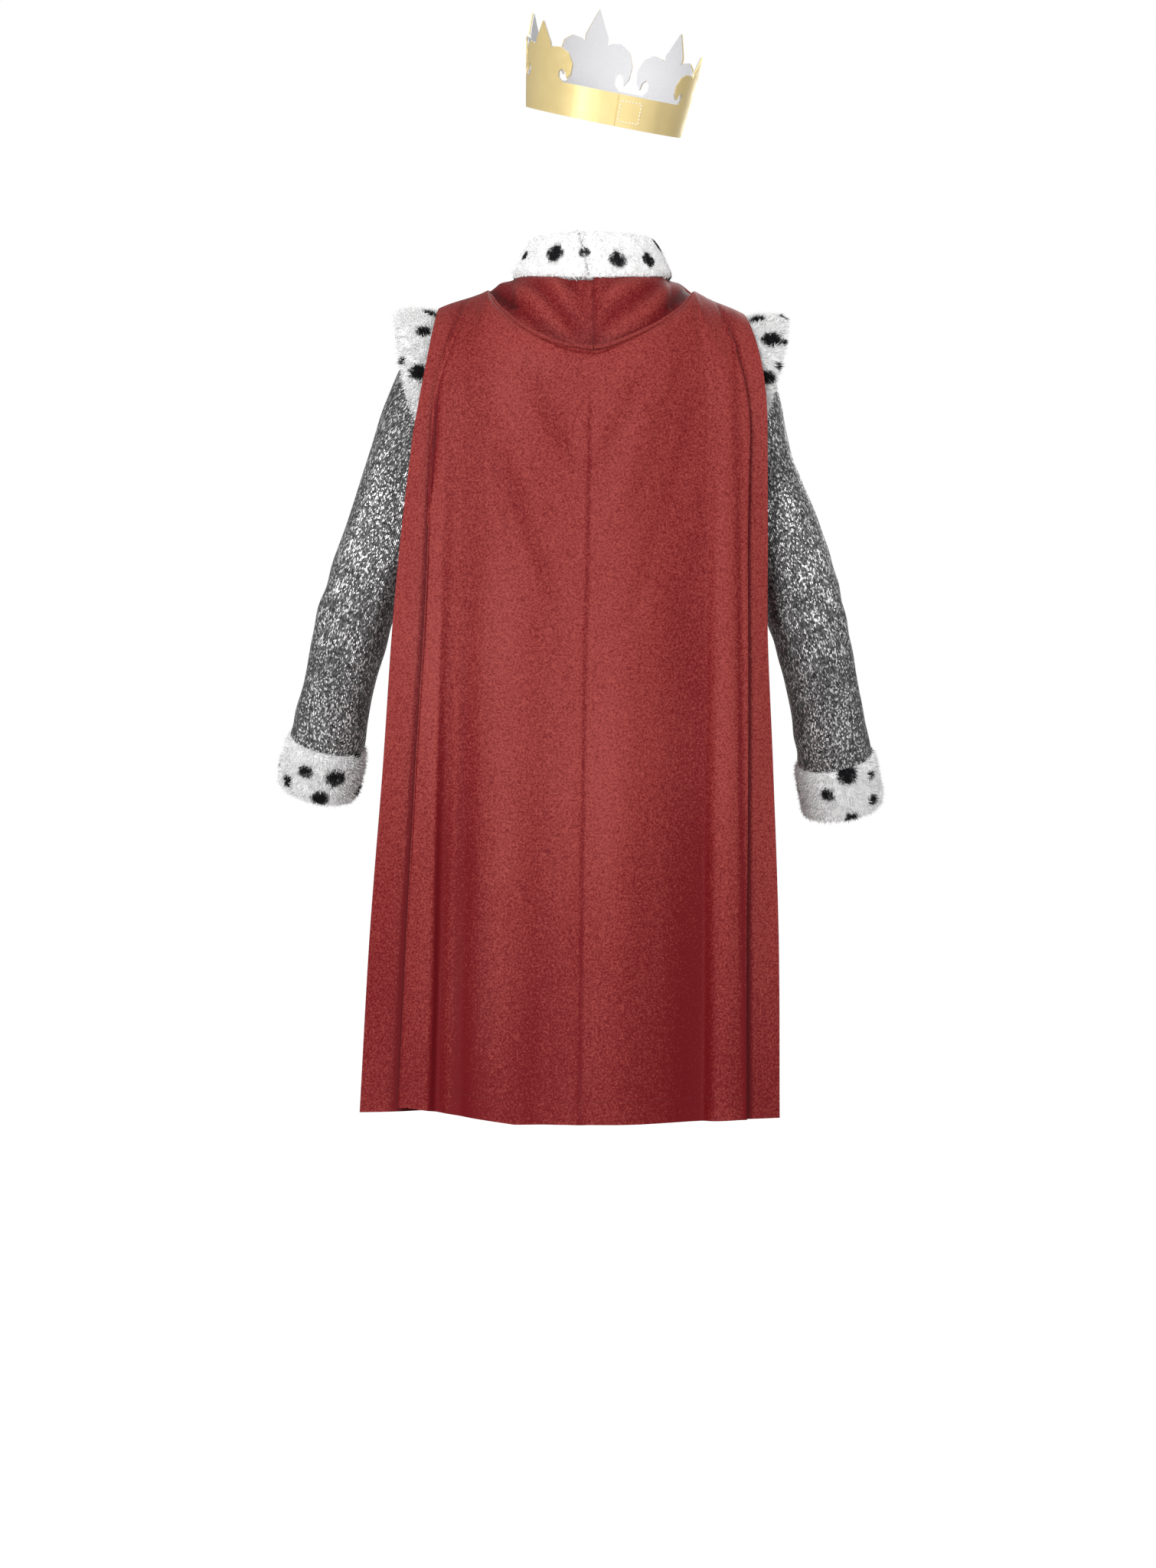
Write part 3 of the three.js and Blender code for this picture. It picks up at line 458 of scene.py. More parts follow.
front_face = tunic_grid(1, np.linspace(-1, 1, 121))
swing = smooth(-front_face[..., 2], 120, 700)[..., None]
front_waves = ripple(front_face * [1, 1, 0.25], 3, 90, 1.2)[..., None] * swing
front_face = keep_side(front_face + normals_of(front_face, 1) * front_waves, 1)
tunic_front = shell("tunic_front_cloth", front_face, keep_side(inset(front_face, SATIN, -1), 1))
body_piece(tunic_front, red_satin, ["tunic_front"])


def tunic_back(side):
    """One back panel, with its edge at the lap and soft creases that fan out from the neck. The left panel
    sinks under the right one where they lap."""
    under = side < 0
    out = side * np.linspace(0, 1, 61) ** 1.3
    grid = tunic_grid(-1, out)
    lap = 14 if under else 2
    grid[..., 0] += lap * np.maximum(0, 1 - abs(grid[..., 0]) / 40)
    if under:
        sink = 2.6 * smooth(grid[..., 0], -32, -10)
        grid = keep_side(inset(grid, sink, side), -1)
    x, z = grid[..., 0], grid[..., 2]
    drape = 0.694 * abs(x - 1) - 0.72 * z
    yoke = smooth(z, -150, -85) * smooth(-z, 3, 16) * smooth(abs(x), 6, 20) * smooth(-abs(x), -105, -80)
    fan = np.cos((drape - 59) * 2 * math.pi / 27 + 0.5 * np.sin(x / 11)) * yoke
    loose = 0.5 * ripple(grid, 5 + side, 45, 1) * smooth(z, -150, -100) * smooth(-z, 3, 16)
    grid = keep_side(grid + normals_of(grid, side) * (2.3 * fan + loose)[..., None], -1)
    made = shell(f"tunic_back_{SIDE_NAME[side]}_cloth", grid, keep_side(inset(grid, SATIN, side), -1))
    # Painted shade: the yoke is darkened, more in the crease valleys, the shoulder a little, and a painted
    # shadow runs along the lapped edge.
    shoulder = 0.3 * smooth(abs(x), 60, 76) * smooth(z, -60, -30)
    lap_edge_shadow = 0.4 * np.exp(-(((x - 2) / 3.5) ** 2)) * (not under)
    set_painted_shade(made, 0.44 - 0.42 * fan + shoulder + lap_edge_shadow)
    body_piece(made, red_satin, [f"tunic_back_{SIDE_NAME[side]}"])
    return made, grid


tunic_back_left, _ = tunic_back(-1)
tunic_back_right, right_back_face = tunic_back(1)

# Sleeves
# Long sleeves of black and grey knit with a bright metallic thread, sewn into the armholes and ending at the
# cuffs. A row is a section square to the sleeve: its centre, its width across and its depth front to back.
KNIT = 1.8
SLEEVES = {
    -1: dict(
        x=[-172, -188, -205, -219, -230.5, -242],
        y=[-8, -13, -17, -15, -1, 17],
        z=[-185, -236, -282, -328, -374, -424],
        across=[72, 72, 70, 68, 64, 69],
        deep=[80, 78, 75, 71, 67, 69],
    ),
    1: dict(
        x=[156, 174, 190, 203, 214, 224],
        y=[-8, -13, -17, -15, 0, 18],
        z=[-185, -236, -288, -339, -388, -440],
        across=[65, 71, 71, 68, 65, 69],
        deep=[78, 78, 75, 71, 67, 69],
    ),
}


def sleeve_frames(side, at):
    """The centre, axis, frontward and outward directions and radii of the sleeve at fractional table rows."""
    table, at = SLEEVES[side], np.asarray(at, float)
    here = along(table, at)
    before = along(table, np.maximum(0, at - 0.05))
    after = along(table, np.minimum(5, at + 0.05))
    axis = unit(point(after["x"] - before["x"], after["y"] - before["y"], after["z"] - before["z"]))
    front = unit(np.array([0.0, 1.0, 0.0]) - axis * axis[..., 1:2])
    out = unit(-side * np.cross(front, axis))
    return point(here["x"], here["y"], here["z"]), axis, front, out, here["across"] / 2, here["deep"] / 2


def sleeve_ring(frames, turn, swell=0.0):
    """The ring of points round the sleeve for each frame, swell mm outside it. Turn 0 is its outer side."""
    centre, _, front, out, across, deep = frames
    swell = np.asarray(swell, float)
    wide = (across + swell)[..., None, None] * np.cos(turn)[:, None]
    long = (deep + swell)[..., None, None] * np.sin(turn)[:, None]
    return centre[..., None, :] + out[..., None, :] * wide + front[..., None, :] * long


def sleeve_head(side, turn, t):
    """The sleeve's top: for each turn, a cubic curve from the armhole seam, t 0, to the first ring, t 1."""
    facing = np.where(np.sin(turn) >= 0, 1, -1)
    seam = armhole_point(side, facing, np.arccos(np.clip(np.cos(turn), -1, 1))) + [side * 0.8, 0, 0]
    frames = sleeve_frames(side, np.array([0.0]))
    end = sleeve_ring(frames, turn)[0]
    length = np.linalg.norm(end - seam, axis=-1, keepdims=True)
    high = ((1 + np.cos(turn)) / 2)[:, None]
    leave = np.concatenate([side * lerp(0.35, 1, high), 0 * high, 0 * high - 0.85], axis=1)
    leave *= length * lerp(0.35, 0.75, high) * 1.3 / np.linalg.norm(leave, axis=-1, keepdims=True)
    arrive = frames[1] * length * 0.9
    t = np.asarray(t, float)[:, None, None]
    from_seam = seam * (2 * t**3 - 3 * t**2 + 1) + leave * (t**3 - 2 * t**2 + t)
    return from_seam + end * (3 * t**2 - 2 * t**3) + arrive * (t**3 - t**2)


def knit_group():
    """Knit with metallic thread: fine columns of stitches, dark yarn, and flat flecks of thread with painted
    glints: each fleck gets a random brightness in place of the light it would catch, so that some are bright
    and most are grey."""
    numbers_out = ["Roughness", "Metallic", "Height"]
    group, start, end = node_group("metallic_knit", ["Dark", "Bright"], outputs=numbers_out)
    place = node(group, "ShaderNodeTexCoord").outputs["UV"]
    stretched = node(group, "ShaderNodeMapping", {"Vector": place, "Scale": (1.0, 0.62, 1.0)}).outputs[0]
    fleck = node(group, "ShaderNodeTexVoronoi", {"Vector": stretched, "Scale": 960}, voronoi_dimensions="2D")
    chance = node(group, "ShaderNodeSeparateColor", {0: fleck.outputs["Color"]}).outputs
    # Painted glints: a few flecks are painted bright and the rest a random dim grey.
    painted_glint = ranged(group, chance[0], 0.7, 0.84, 0, 1)
    grey = ranged(group, chance[1], 0.25, 1.0, 0.0, 0.2)
    worn = ranged(group, noise(group, place, 17, 3), 0.35, 0.65, 0.55, 1.1)
    level = maths(group, "MULTIPLY", maths(group, "MAXIMUM", painted_glint, grey), worn, use_clamp=True)
    look = {
        "Color": mixed(group, level, start.outputs["Dark"], start.outputs["Bright"]),
        "Roughness": ranged(group, chance[2], 0, 1, 0.24, 0.6),
        "Metallic": ranged(group, level, 0, 0.6, 0.1, 0.85),
        "Height": maths(group, "ADD", waves(group, place, "X", 190, 0.4), chance[2]),
    }
    feed(group, end, look)
    return group


# Glint is the colour of the painted glints.
glitter_knit = cloth_material(
    "glitter_knit", knit_group(), {"Dark": (0.020, 0.018, 0.020, 1), "Bright": (1.0, 1.0, 1.0, 1)}, 0.7
)


def sleeve(side):
    """One sleeve, with shallow drag lines below its head, at the elbow and above the cuff."""
    turn = np.linspace(0, 2 * math.pi, 96, endpoint=False)
    head = sleeve_head(side, turn, np.linspace(0, 1, 22)[:-1])
    grid = np.concatenate([head, sleeve_ring(sleeve_frames(side, np.linspace(0, 5, 74)), turn)])
    down = np.linspace(0, 1, len(grid))[:, None]
    slack = np.exp(-(((down - 0.6) / 0.13) ** 2)) + 0.9 * smooth(down, 0.82, 0.97)
    slack = slack + 0.5 * np.exp(-(((down - 0.2) / 0.1) ** 2))
    wrinkle = ripple(grid * [0.5, 0.5, 1.6], 11 + side, 46, 1.1) * slack
    wrinkle = wrinkle * smooth(down, 0.02, 0.1) * smooth(1 - down, 0, 0.04)
    grid = grid + normals_of(grid, -side, True) * wrinkle[..., None] * 0.8
    inner = inset(grid, KNIT, -side, True)
    inner[0, :, 0] = grid[0, :, 0]
    name = SIDE_NAME[side]
    made = shell(f"sleeve_{name}_knit", grid, inner, ring=True)
    body_piece(made, glitter_knit, [f"sleeve_{name}"])


sleeve(-1)
sleeve(1)

# Fur cuffs, collar and shoulder wings
# Short white plush with soft black spots. Each piece is a padded band, sewn on by one edge, under many fine
# tufts that lie mostly one way. Spots seen from the back have their own places, and the rest are spread.
PILE = dict(per_mm2=1.7, length=6.0, droop=0.6, stray=0.48, root_sunk=0.8)
SEAM_GAP = 0.4


def fur_group():
    """Plush seen from outside: a near-white or near-black root, broken up by fine streaks and clumps; the
    white is dimmed at random clumps as painted shade between tufts.
    """
    group, start, end = node_group("plush", ["White", "Black"])
    place = node(group, "ShaderNodeTexCoord").outputs["Object"]
    clump = noise(group, place, 160, 4, 0.65)
    # The spot attribute holds the black spots and, on the collar, painted shade along the slit.
    spot = node(group, "ShaderNodeAttribute", attribute_name="spot").outputs["Fac"]
    # Painted shade: the white is dimmed by up to a sixth between clumps.
    white = scaled(group, start.outputs["White"], ranged(group, clump, 0.3, 0.7, 0.84, 1.0))
    look = {
        "Color": mixed(group, spot, white, start.outputs["Black"]),
        "Roughness": ranged(group, clump, 0.3, 0.7, 0.95, 0.8),
        "Height": clump,
    }
    feed(group, end, look)
    return group


spotted_fur = cloth_material(
    "spotted_fur",
    fur_group(),
    {"White": (0.99, 0.99, 0.99, 1), "Black": (0.010, 0.010, 0.012, 1)},
    0.6,
    {"Specular IOR Level": 0.2},
)


def spread_spots(grid, placed, gap, seed, behind):
    """Spot centres and radii: the placed ones, given as (x, z, radius) and found on the back of the piece,
    then random ones in front of behind, each at least gap from its neighbours."""
    points = grid.reshape(-1, 3)
    in_front = points[:, 1] > np.median(points[:, 1])
    found = []
    for x, z, radius in placed:
        off = np.hypot(points[:, 0] - x, points[:, 2] - z) + 1000 * in_front
        found.append((points[off.argmin()], radius))
    rng = np.random.default_rng(seed)
    for p in points[rng.permutation(len(points))[:500]]:
        if p[1] > behind and all(np.linalg.norm(p - c) > gap for c, _ in found):
            found.append((p, rng.uniform(5.2, 7.6)))
    return found


def spot_at(points, spots, rng=None):
    """1 inside a spot and 0 outside, with an edge that wanders; rng makes single tufts stray across it. Marks
    under 1.4 mm in radius are fainter, such as the painted shade along the collar's slit."""
    wander = 0.96 + 0.04 * np.sin(points @ [0.5, 0.3, 0.6]) + 0.03 * np.sin(points @ [-0.9, 0.7, 0.4])
    if rng is not None:
        wander = wander + rng.normal(scale=0.035, size=len(points))
    dark = np.zeros(len(points))
    for centre, radius in spots:
        off = np.linalg.norm((points - centre) * [1, 1, 1.15], axis=1) / (1.18 * radius)
        dark = np.maximum(dark, min(1, radius / 1.4) * (1 - smooth(off * wander, 0.93, 1.07)))
    return dark


def set_spots(made, dark):
    """Stores on a mesh how black each of its points is."""
    made.data.attributes.new("spot", "FLOAT", "POINT").data.foreach_set("value", dark)


def tufts(name, grid, facing, spots, comb, seed, ring):
    """Many thin bent blades rooted at random on a grid, denser where its cells are larger. Each leans along
    comb, straightened to lie on the surface, and is pale or dark by the spot under its root."""
    rng = np.random.default_rng(seed)
    normal = normals_of(grid, facing, ring)
    if ring:
        grid, normal = [np.concatenate([g, g[:, :1]], axis=1) for g in (grid, normal)]
    a, b, c, d = grid[:-1, :-1], grid[:-1, 1:], grid[1:, 1:], grid[1:, :-1]
    area = np.linalg.norm(np.cross(c - a, d - b), axis=-1) / 2
    count = int(area.sum() * PILE["per_mm2"])
    cells = rng.choice(area.size, count, p=(area / area.sum()).ravel())
    i, j = np.unravel_index(cells, area.shape)
    s, t = rng.random((2, count, 1))

    def pick(v):
        """A grid's value at each root, from the four corners of its cell."""
        return lerp(lerp(v[i, j], v[i, j + 1], s), lerp(v[i + 1, j], v[i + 1, j + 1], s), t)

    root, out = pick(grid), unit(pick(normal))
    lean = comb - out * np.sum(comb * out, axis=1, keepdims=True)
    lean = lean * PILE["droop"] + rng.normal(scale=PILE["stray"], size=root.shape)
    dark = spot_at(root, spots, rng)
    size = PILE["length"] * rng.uniform(0.6, 1.15, (count, 1))
    first = unit(out * 0.75 + lean * 0.6)
    second = unit(out * 0.3 + lean * 1.1)
    side = np.cross(first, rng.normal(size=root.shape))
    side *= rng.uniform(0.28, 0.46, (count, 1)) / np.linalg.norm(side, axis=1, keepdims=True)
    root = root - out * PILE["root_sunk"]
    middle = root + first * size * 0.55
    tip = middle + second * size * 0.5
    blade = [root - side, root + side, middle - side * 0.7, middle + side * 0.7, tip]
    number = len(blade) * np.arange(count)[:, None]
    faces = np.concatenate([number + [0, 1, 3], number + [0, 3, 2], number + [2, 3, 4]])
    made = mesh_object(name, np.stack(blade, axis=1).reshape(-1, 3), faces.tolist())
    set_spots(made, np.repeat(dark, len(blade)))
    body_piece(made, spotted_fur)
    return made


def fur_piece(name, outer, inner, facing, spots, comb, seed, covered, ring=False):
    """A fur band: the padded cloth between two grids, with tufts over covered, its face and edges."""
    base = shell(f"{name}_fur", outer, inner, ring=ring)
    points = np.empty(len(base.data.vertices) * 3)
    base.data.vertices.foreach_get("co", points)
    set_spots(base, spot_at(points.reshape(-1, 3) / MM, spots))
    body_piece(base, spotted_fur, [name])
    pile = tufts(f"{name}_pile", covered, facing, spots, comb, seed, ring)


CUFF_DOWN = np.array([0, 2, 5, 12, 20, 28, 36, 42, 46, 48.0])
CUFF_SWELL = np.array([-3.5, -0.6, 0.6, 1.2, 1.4, 1.4, 1.2, 0.7, -0.8, -3.4])
CUFF_SPOTS = {
    -1: [
        (-260, -449, 5.4), (-234, -454, 7.2), (-275.5, -459.5, 5.2),
        (-217, -435.5, 4.3), (-214.5, -467, 4.8), (-247, -477, 6.6),
    ],
    1: [
        (233, -455.5, 7.2), (254, -452, 3.6), (192, -464.5, 4.8),
        (215.5, -474.5, 5), (257, -477, 4.4), (238, -493, 5.4),
    ],
}


def cuff(side):
    """One cuff: a thick ring below the sleeve, with its upper and lower edges rolled in."""
    turn = np.linspace(0, 2 * math.pi, 90, endpoint=False)
    wrist = sleeve_frames(side, np.array([5.0]))
    step = wrist[1] * (SEAM_GAP + CUFF_DOWN)[:, None]
    outer = np.stack([sleeve_ring(wrist, turn, s)[0] + d for s, d in zip(CUFF_SWELL, step)])
    inner = np.stack([sleeve_ring(wrist, turn, -5.0)[0] + d for d in step])
    outer += ripple(outer, 20 + side, 30, 0.5)[..., None] * normals_of(outer, -side, True)
    name = SIDE_NAME[side]
    spots = spread_spots(outer, CUFF_SPOTS[side], 21, 30 + side, 26)
    top, foot = inner[:1] * 0.35 + outer[:1] * 0.65, inner[-1:] * 0.5 + outer[-1:] * 0.5
    covered = np.concatenate([top, outer, foot])
    fur_piece(
        f"cuff_{name}", outer, inner, -side, spots,
        wrist[1][0] * 0.8, 40 + side, covered, ring=True,
    )


cuff(-1)
cuff(1)

COLLAR_FOOT = dict(mid_x=1.2, half_width=74.5, front=72, back=66)
COLLAR_TOP = dict(mid_x=1.5, half_width=58, front=57, back=53, side_z=35, front_z=10, back_z=36)
COLLAR_SPOTS = [(-60, 18.9, 4.2), (-32.7, 13.4, 7.0), (-6, 14.9, 4.4), (23.2, 11.4, 6.7), (52.3, 12.9, 6.2)]


def collar_grid(up, share, inwards):
    """The collar's face, inwards mm inside its outer one: up from the neck seam, and round from one side of
    the slit at the back to the other. The slit slants to the left as it rises."""
    foot, top = COLLAR_FOOT, COLLAR_TOP
    up, share, inwards = up[:, None], share[None, :], inwards[:, None]
    half_width = lerp(foot["half_width"], top["half_width"], up) - inwards
    skew = np.arcsin(lerp(-3, -12.5, up) / half_width)
    half = 0.7 / lerp(foot["back"], top["back"], up)
    angle = -math.pi - skew + half + share * 2 * (math.pi - half)
    cosine = np.cos(angle)
    foot_depth = np.where(cosine > 0, foot["front"], foot["back"])
    top_depth = np.where(cosine > 0, top["front"], top["back"])
    top_z = lerp(top["side_z"], np.where(cosine > 0, top["front_z"], top["back_z"]), cosine**2)
    return point(
        lerp(foot["mid_x"], top["mid_x"], up) + half_width * np.sin(angle),
        (lerp(foot_depth, top_depth, up) - inwards) * cosine,
        lerp(neck_z(cosine) + 1.6, top_z, up),
    )


collar_up = np.array([-0.035, 0.03, 0.1, 0.2, 0.35, 0.5, 0.65, 0.8, 0.9, 0.96, 0.985])
collar_in = np.array([4.0, 2.4, 1.6, 1.4, 1.2, 1.1, 1.3, 1.8, 2.8, 4.2, 5.6])
collar_round = np.linspace(0, 1, 150)
collar_slit = 2.4 * np.exp(-((np.minimum(collar_round, 1 - collar_round) * 430 / 2.6) ** 2))
collar_outer = collar_grid(collar_up, collar_round, collar_in)
collar_outer = inset(collar_outer, collar_slit[None, :], 1)
collar_inner = collar_grid(collar_up, collar_round, np.full(len(collar_up), 9.0))
collar_cover = np.concatenate([collar_outer, collar_grid(np.array([0.97]), collar_round, np.array([8.6]))])
collar_spots_and_slit_shade = spread_spots(collar_outer, COLLAR_SPOTS, 27, 50, -12)
# Painted shade along the collar's slit: a row of small faint marks down its edge.
collar_spots_and_slit_shade += [(p, 0.5) for p in curve(collar_outer[:, 0], np.linspace(1, len(collar_up) - 3, 40))]
fur_piece(
    "collar", collar_outer, collar_inner, 1, collar_spots_and_slit_shade,
    np.array([0.15, 0, -0.75]), 51, collar_cover,
)

WING_RIM = dict(
    turn=[0, 25, 50, 70, 90, 105, 120, 132, 142],
    out=[38, 37.5, 35, 30, 23, 14, 4, -7, -14],
    deep=[0, 29, 49, 55, 57, 55, 51, 45, 38],
    drop=[0, 8, 33, 60, 86, 104, 116, 121, 122],
)
WING_SPOTS = {
    -1: [(-146, -37.5, 5.2), (-150.5, -55, 5.4), (-153.5, -92, 7), (-170.5, -80, 3)],
    1: [
        (149.5, -43, 5.6), (173.5, -40, 4.6), (162.5, -63, 7.2),
        (158.5, -97, 6), (173, -66, 3), (168.5, -87, 2.8),
    ],
}


def wing(side):
    """One shoulder wing: its lining spans the armhole seam and the rim, and the plush stands out from it."""
    place = np.linspace(-1, 1, 121)[None, :]
    share = np.linspace(0, 1, 25)[:, None]
    facing = np.where(place < 0, -1, 1)
    rim = along(WING_RIM, abs(place) * 8)
    turn = np.radians(rim["turn"])
    outwards = point(0 * turn, facing * np.sin(turn), np.cos(turn))
    low = smooth(rim["turn"], 80, 120)
    seam = armhole_point(side, facing, turn) + outwards * (0.6 + 2.7 * low)[..., None]
    seam[..., 0] += side * (0.97 + 1.3 * low)
    tuck = (4 if side > 0 else 0) * smooth(rim["turn"], 40, 80)
    end = point(side * (139 + rim["out"] - tuck), facing * rim["deep"], SHOULDER_Z[side] + 0.6 - rim["drop"])
    swell = 3 * np.sin(math.pi * share) * np.sin(turn)
    lining = lerp(seam, end, share[..., None]) + outwards * swell[..., None]
    thick = lerp(3.4, 7, np.minimum(1, share / 0.35)) * (1 - 0.36 * smooth(share, 0.82, 1))
    thick = thick * lerp(1, 0.45, smooth(abs(place), 0.65, 1))
    outer = inset(lining, -np.maximum(0.8, thick - 2.6), -side)
    outer[0, :, 0] = side * np.maximum(side * outer[0, :, 0], side * lining[0, :, 0])
    name = f"shoulder_wing_{SIDE_NAME[side]}"
    spots = spread_spots(outer, WING_SPOTS[side], 27, 60 + side, 8)
    covered = np.concatenate([outer, lerp(outer[-1:], lining[-1:], 0.8)])
    fur_piece(
        name, outer, lining, -side, spots,
        np.array([side * 0.9, 0, -0.25]), 62 + side, covered,
    )


wing(-1)
wing(1)

# Cape
# A long red cape of the same cloth, in two halves joined down the middle and sewn only to the shoulder seams.
# Each half turns under itself near its outer edge in one fold. A row is a section: under is how far the cloth
# turns back in the fold, and pleat how deep.
CAPE_BOTH = dict(
    z=[-150, -240, -330, -450, -600, -757],
    seam_x=[-2, -3, -5, -7, -9, -10.5],
    seam_y=[-114, -119, -124, -131, -140, -150],
    pleat=[9, 9, 10, 11, 12, 13],
)
CAPE = {
    -1: dict(
        CAPE_BOTH,
        fold_x=[142, 145, 149, 156, 163.5, 170.5],
        fold_y=[-94, -100, -106, -112, -119, -127],
        under=[9, 11, 13, 15, 18, 22],
        edge_x=[160, 170.5, 178.6, 186.5, 198, 206.6],
        edge_y=[-80, -83, -87, -91, -96, -101],
    ),
    1: dict(
        CAPE_BOTH,
        fold_x=[141, 138.6, 138.8, 138.4, 137.2, 136.6],
        fold_y=[-92, -98, -104, -111, -118, -127],
        under=[9, 11, 13, 14, 16, 18],
        edge_x=[158, 158.2, 158, 162.7, 167.4, 168],
        edge_y=[-80, -82, -85, -89, -95, -100],
    ),
}
# The grid has rows below and above z -150, and columns in the folded part and in the back. Each of the folded
# part's eight keys is sewn to the shoulder seam at its own distance out. The neckline starts at the corner.
CAPE_ROWS = dict(skirt=120, top=44)
FOLDED, BACK = 64, 110
CAPE_SEWN = dict(out=[138.6, 124, 115, 112.5, 111, 109, 107, 103])
CAPE_CORNER = dict(out=93.5, share=1 / 12, lift=0.9, column=FOLDED + 10)
CAPE_NECKLINE = dict(
    out=[93.5, 92.5, 90, 84.5, 78, 63.5, 45.5, 28.5, 14, 0],
    y=[0, -18, -37, -51, -61, -79, -89, -96, -102.5, -105],
    z=[-12.7, -15.9, -23.7, -32, -38.5, -50.4, -60.6, -68.5, -73, -74.7],
    shift=[0, 0, 0, 0, -0.5, -2.5, -4, -4, -2.7, 1.7],
)
# Each hollow follows a line from top_x to hem_x, and is left and right mm wide on its two sides.
CAPE_HOLLOWS = dict(
    top_x=[-118, -104, -60, 103, 124, 36, -40],
    hem_x=[-137, -117, -84, 97, 120, 20, -44],
    left=[6, 9, 26, 36, 9, 22, 12],
    right=[11, 9, 24, 8, 9, 20, 12],
    top_depth=[0.5, 0, -1, 5, -2, -2, 0],
    hem_depth=[10, 6, -3, 14, -2, -4, 3],
)
CAPE_HEM = {-1: (-756, -750), 1: (-761, -761)}
HEM_MIDDLE = -763.5
CAPE_SEAM_GAP = 0.01
EDGE_BULGE = {-1: 1.0, 1: 2.4}


def cape_section(row, column):
    """Distance out and depth of the folded part at fractional columns: a curve through eight keys, from the
    free edge along the strip and round the turn under to the ridge."""
    x, y, under, pleat = row["fold_x"], row["fold_y"], row["under"], row["pleat"]
    edge_x, edge_y = row["edge_x"], row["edge_y"]
    strip = y + pleat
    out = [edge_x, lerp(edge_x, x, 0.5), x + 1, x - 0.7 * under, x - under, x - 0.6 * under, x + 1, x - 7]
    depth = [
        edge_y, lerp(edge_y, strip, 0.62), strip, strip - 0.03 * pleat,
        y + 0.66 * pleat, y + 0.42 * pleat, y + 0.2 * pleat, y - 1,
    ]
    return curve(np.stack(out), column).T, curve(np.stack(depth), column).T


def cape_grid(side):
    """The outer face of one half, from the hem up to the shoulder seam and the drooping neckline."""
    table = CAPE[side]
    skirt_rows, top_rows = CAPE_ROWS.values()
    at = np.concatenate([np.linspace(5, 0, skirt_rows), np.zeros(top_rows)])
    turn = np.concatenate([np.full(skirt_rows, math.pi / 2), np.linspace(math.pi / 2, 0, top_rows + 1)[1:]])
    turn = turn[:, None]
    row = along(table, at)
    down = (at / 5)[:, None]
    key = np.linspace(0, 7, FOLDED)
    fold_x, fold_y = cape_section(row, key)
    share = np.linspace(0, 1, BACK + 1)[1:]
    column = {k: v[:, None] for k, v in row.items()}
    back_x = lerp(side * (column["fold_x"] - 7), column["seam_x"], share)
    back_y = lerp(column["fold_y"] - 1, column["seam_y"], np.sin(share * math.pi / 2) ** 0.9)
    x = np.concatenate([side * fold_x, back_x], axis=1)
    y = np.concatenate([fold_y, back_y], axis=1)
    in_back = np.concatenate([np.maximum(0, key - 6), np.ones(BACK)])
    for top_x, hem_x, left, right, top_depth, hem_depth in zip(*CAPE_HOLLOWS.values()):
        off = x - lerp(top_x, hem_x, down)
        off = off / np.where(off < 0, left, right)
        y = y + in_back * lerp(top_depth, hem_depth, down) * np.exp(-off * off)
    edge_z, fold_z = CAPE_HEM[side]
    hem = [lerp(edge_z, fold_z, key / 7), lerp(fold_z, HEM_MIDDLE, np.minimum(1, 1.6 * share))]
    z = column["z"] + (np.concatenate(hem) - table["z"][-1]) * down**3

    sewn = along(CAPE_SEWN, key)["out"]
    corner_out, corner, corner_lift, _ = CAPE_CORNER.values()
    on_seam = np.concatenate([sewn, lerp(CAPE_SEWN["out"][-1], corner_out, np.minimum(1, share / corner))])
    lift = lerp(corner_lift, 6.5, smooth(on_seam, corner_out, CAPE_SEWN["out"][0]))
    shoulder = shoulder_point(side, on_seam) + point(0, 0, lift)
    line = along(CAPE_NECKLINE, np.clip((share - corner) / (1 - corner), 0, 1) * 9)
    corner_z = shoulder_point(side, corner_out)[2] + corner_lift
    drop = (corner_z - CAPE_NECKLINE["z"][0]) * smooth(line["y"], -37, 0)
    neckline = point(side * line["out"] + line["shift"], line["y"], line["z"] + drop)
    use_line = np.concatenate([np.zeros(FOLDED, bool), share > corner])
    neckline = np.concatenate([np.zeros((FOLDED, 3)), neckline])
    top = np.where(use_line[:, None], neckline, shoulder)
    bulge = np.concatenate([lerp(EDGE_BULGE[side], 2, np.minimum(1, key / 3)), np.full(BACK, 2.0)])
    up = np.cos(turn)
    grid = point(
        lerp(x, top[:, 0], np.maximum(up, 0) ** bulge),
        lerp(top[:, 1], y, np.sin(turn) ** 0.8),
        lerp(z, top[:, 2], up),
    )
    grid[:, -1, 0] += side * CAPE_SEAM_GAP / 2
    return grid


DRAGS = dict(
    x0=[-82, -60, 72, 50, 96, -100],
    z0=[-165, -82, -84, -84, -120, -130],
    x1=[-26, -12, 14, -2, 30, -60],
    z1=[-320, -190, -250, -200, -330, -300],
    width=[8, 9, 11, 8, 10, 10],
    depth=[2.6, 2.0, -2.6, 1.6, 1.4, 1.0],
)


def drags(x, z):
    """The depth of the cape's slanting drag lines: each is a soft valley along the line between two places,
    with rounded ends, and a negative depth makes it a ridge."""
    total = 0
    for x0, z0, x1, z1, width, depth in zip(*DRAGS.values()):
        long_x, long_z = x1 - x0, z1 - z0
        reach = math.hypot(long_x, long_z)
        share = ((x - x0) * long_x + (z - z0) * long_z) / reach**2
        off = ((x - x0) * long_z - (z - z0) * long_x) / reach
        valley = depth * np.exp(-((off / width) ** 2))
        total = total + valley * smooth(share, -0.15, 0.25) * smooth(-share, -1.15, -0.7)
    return total


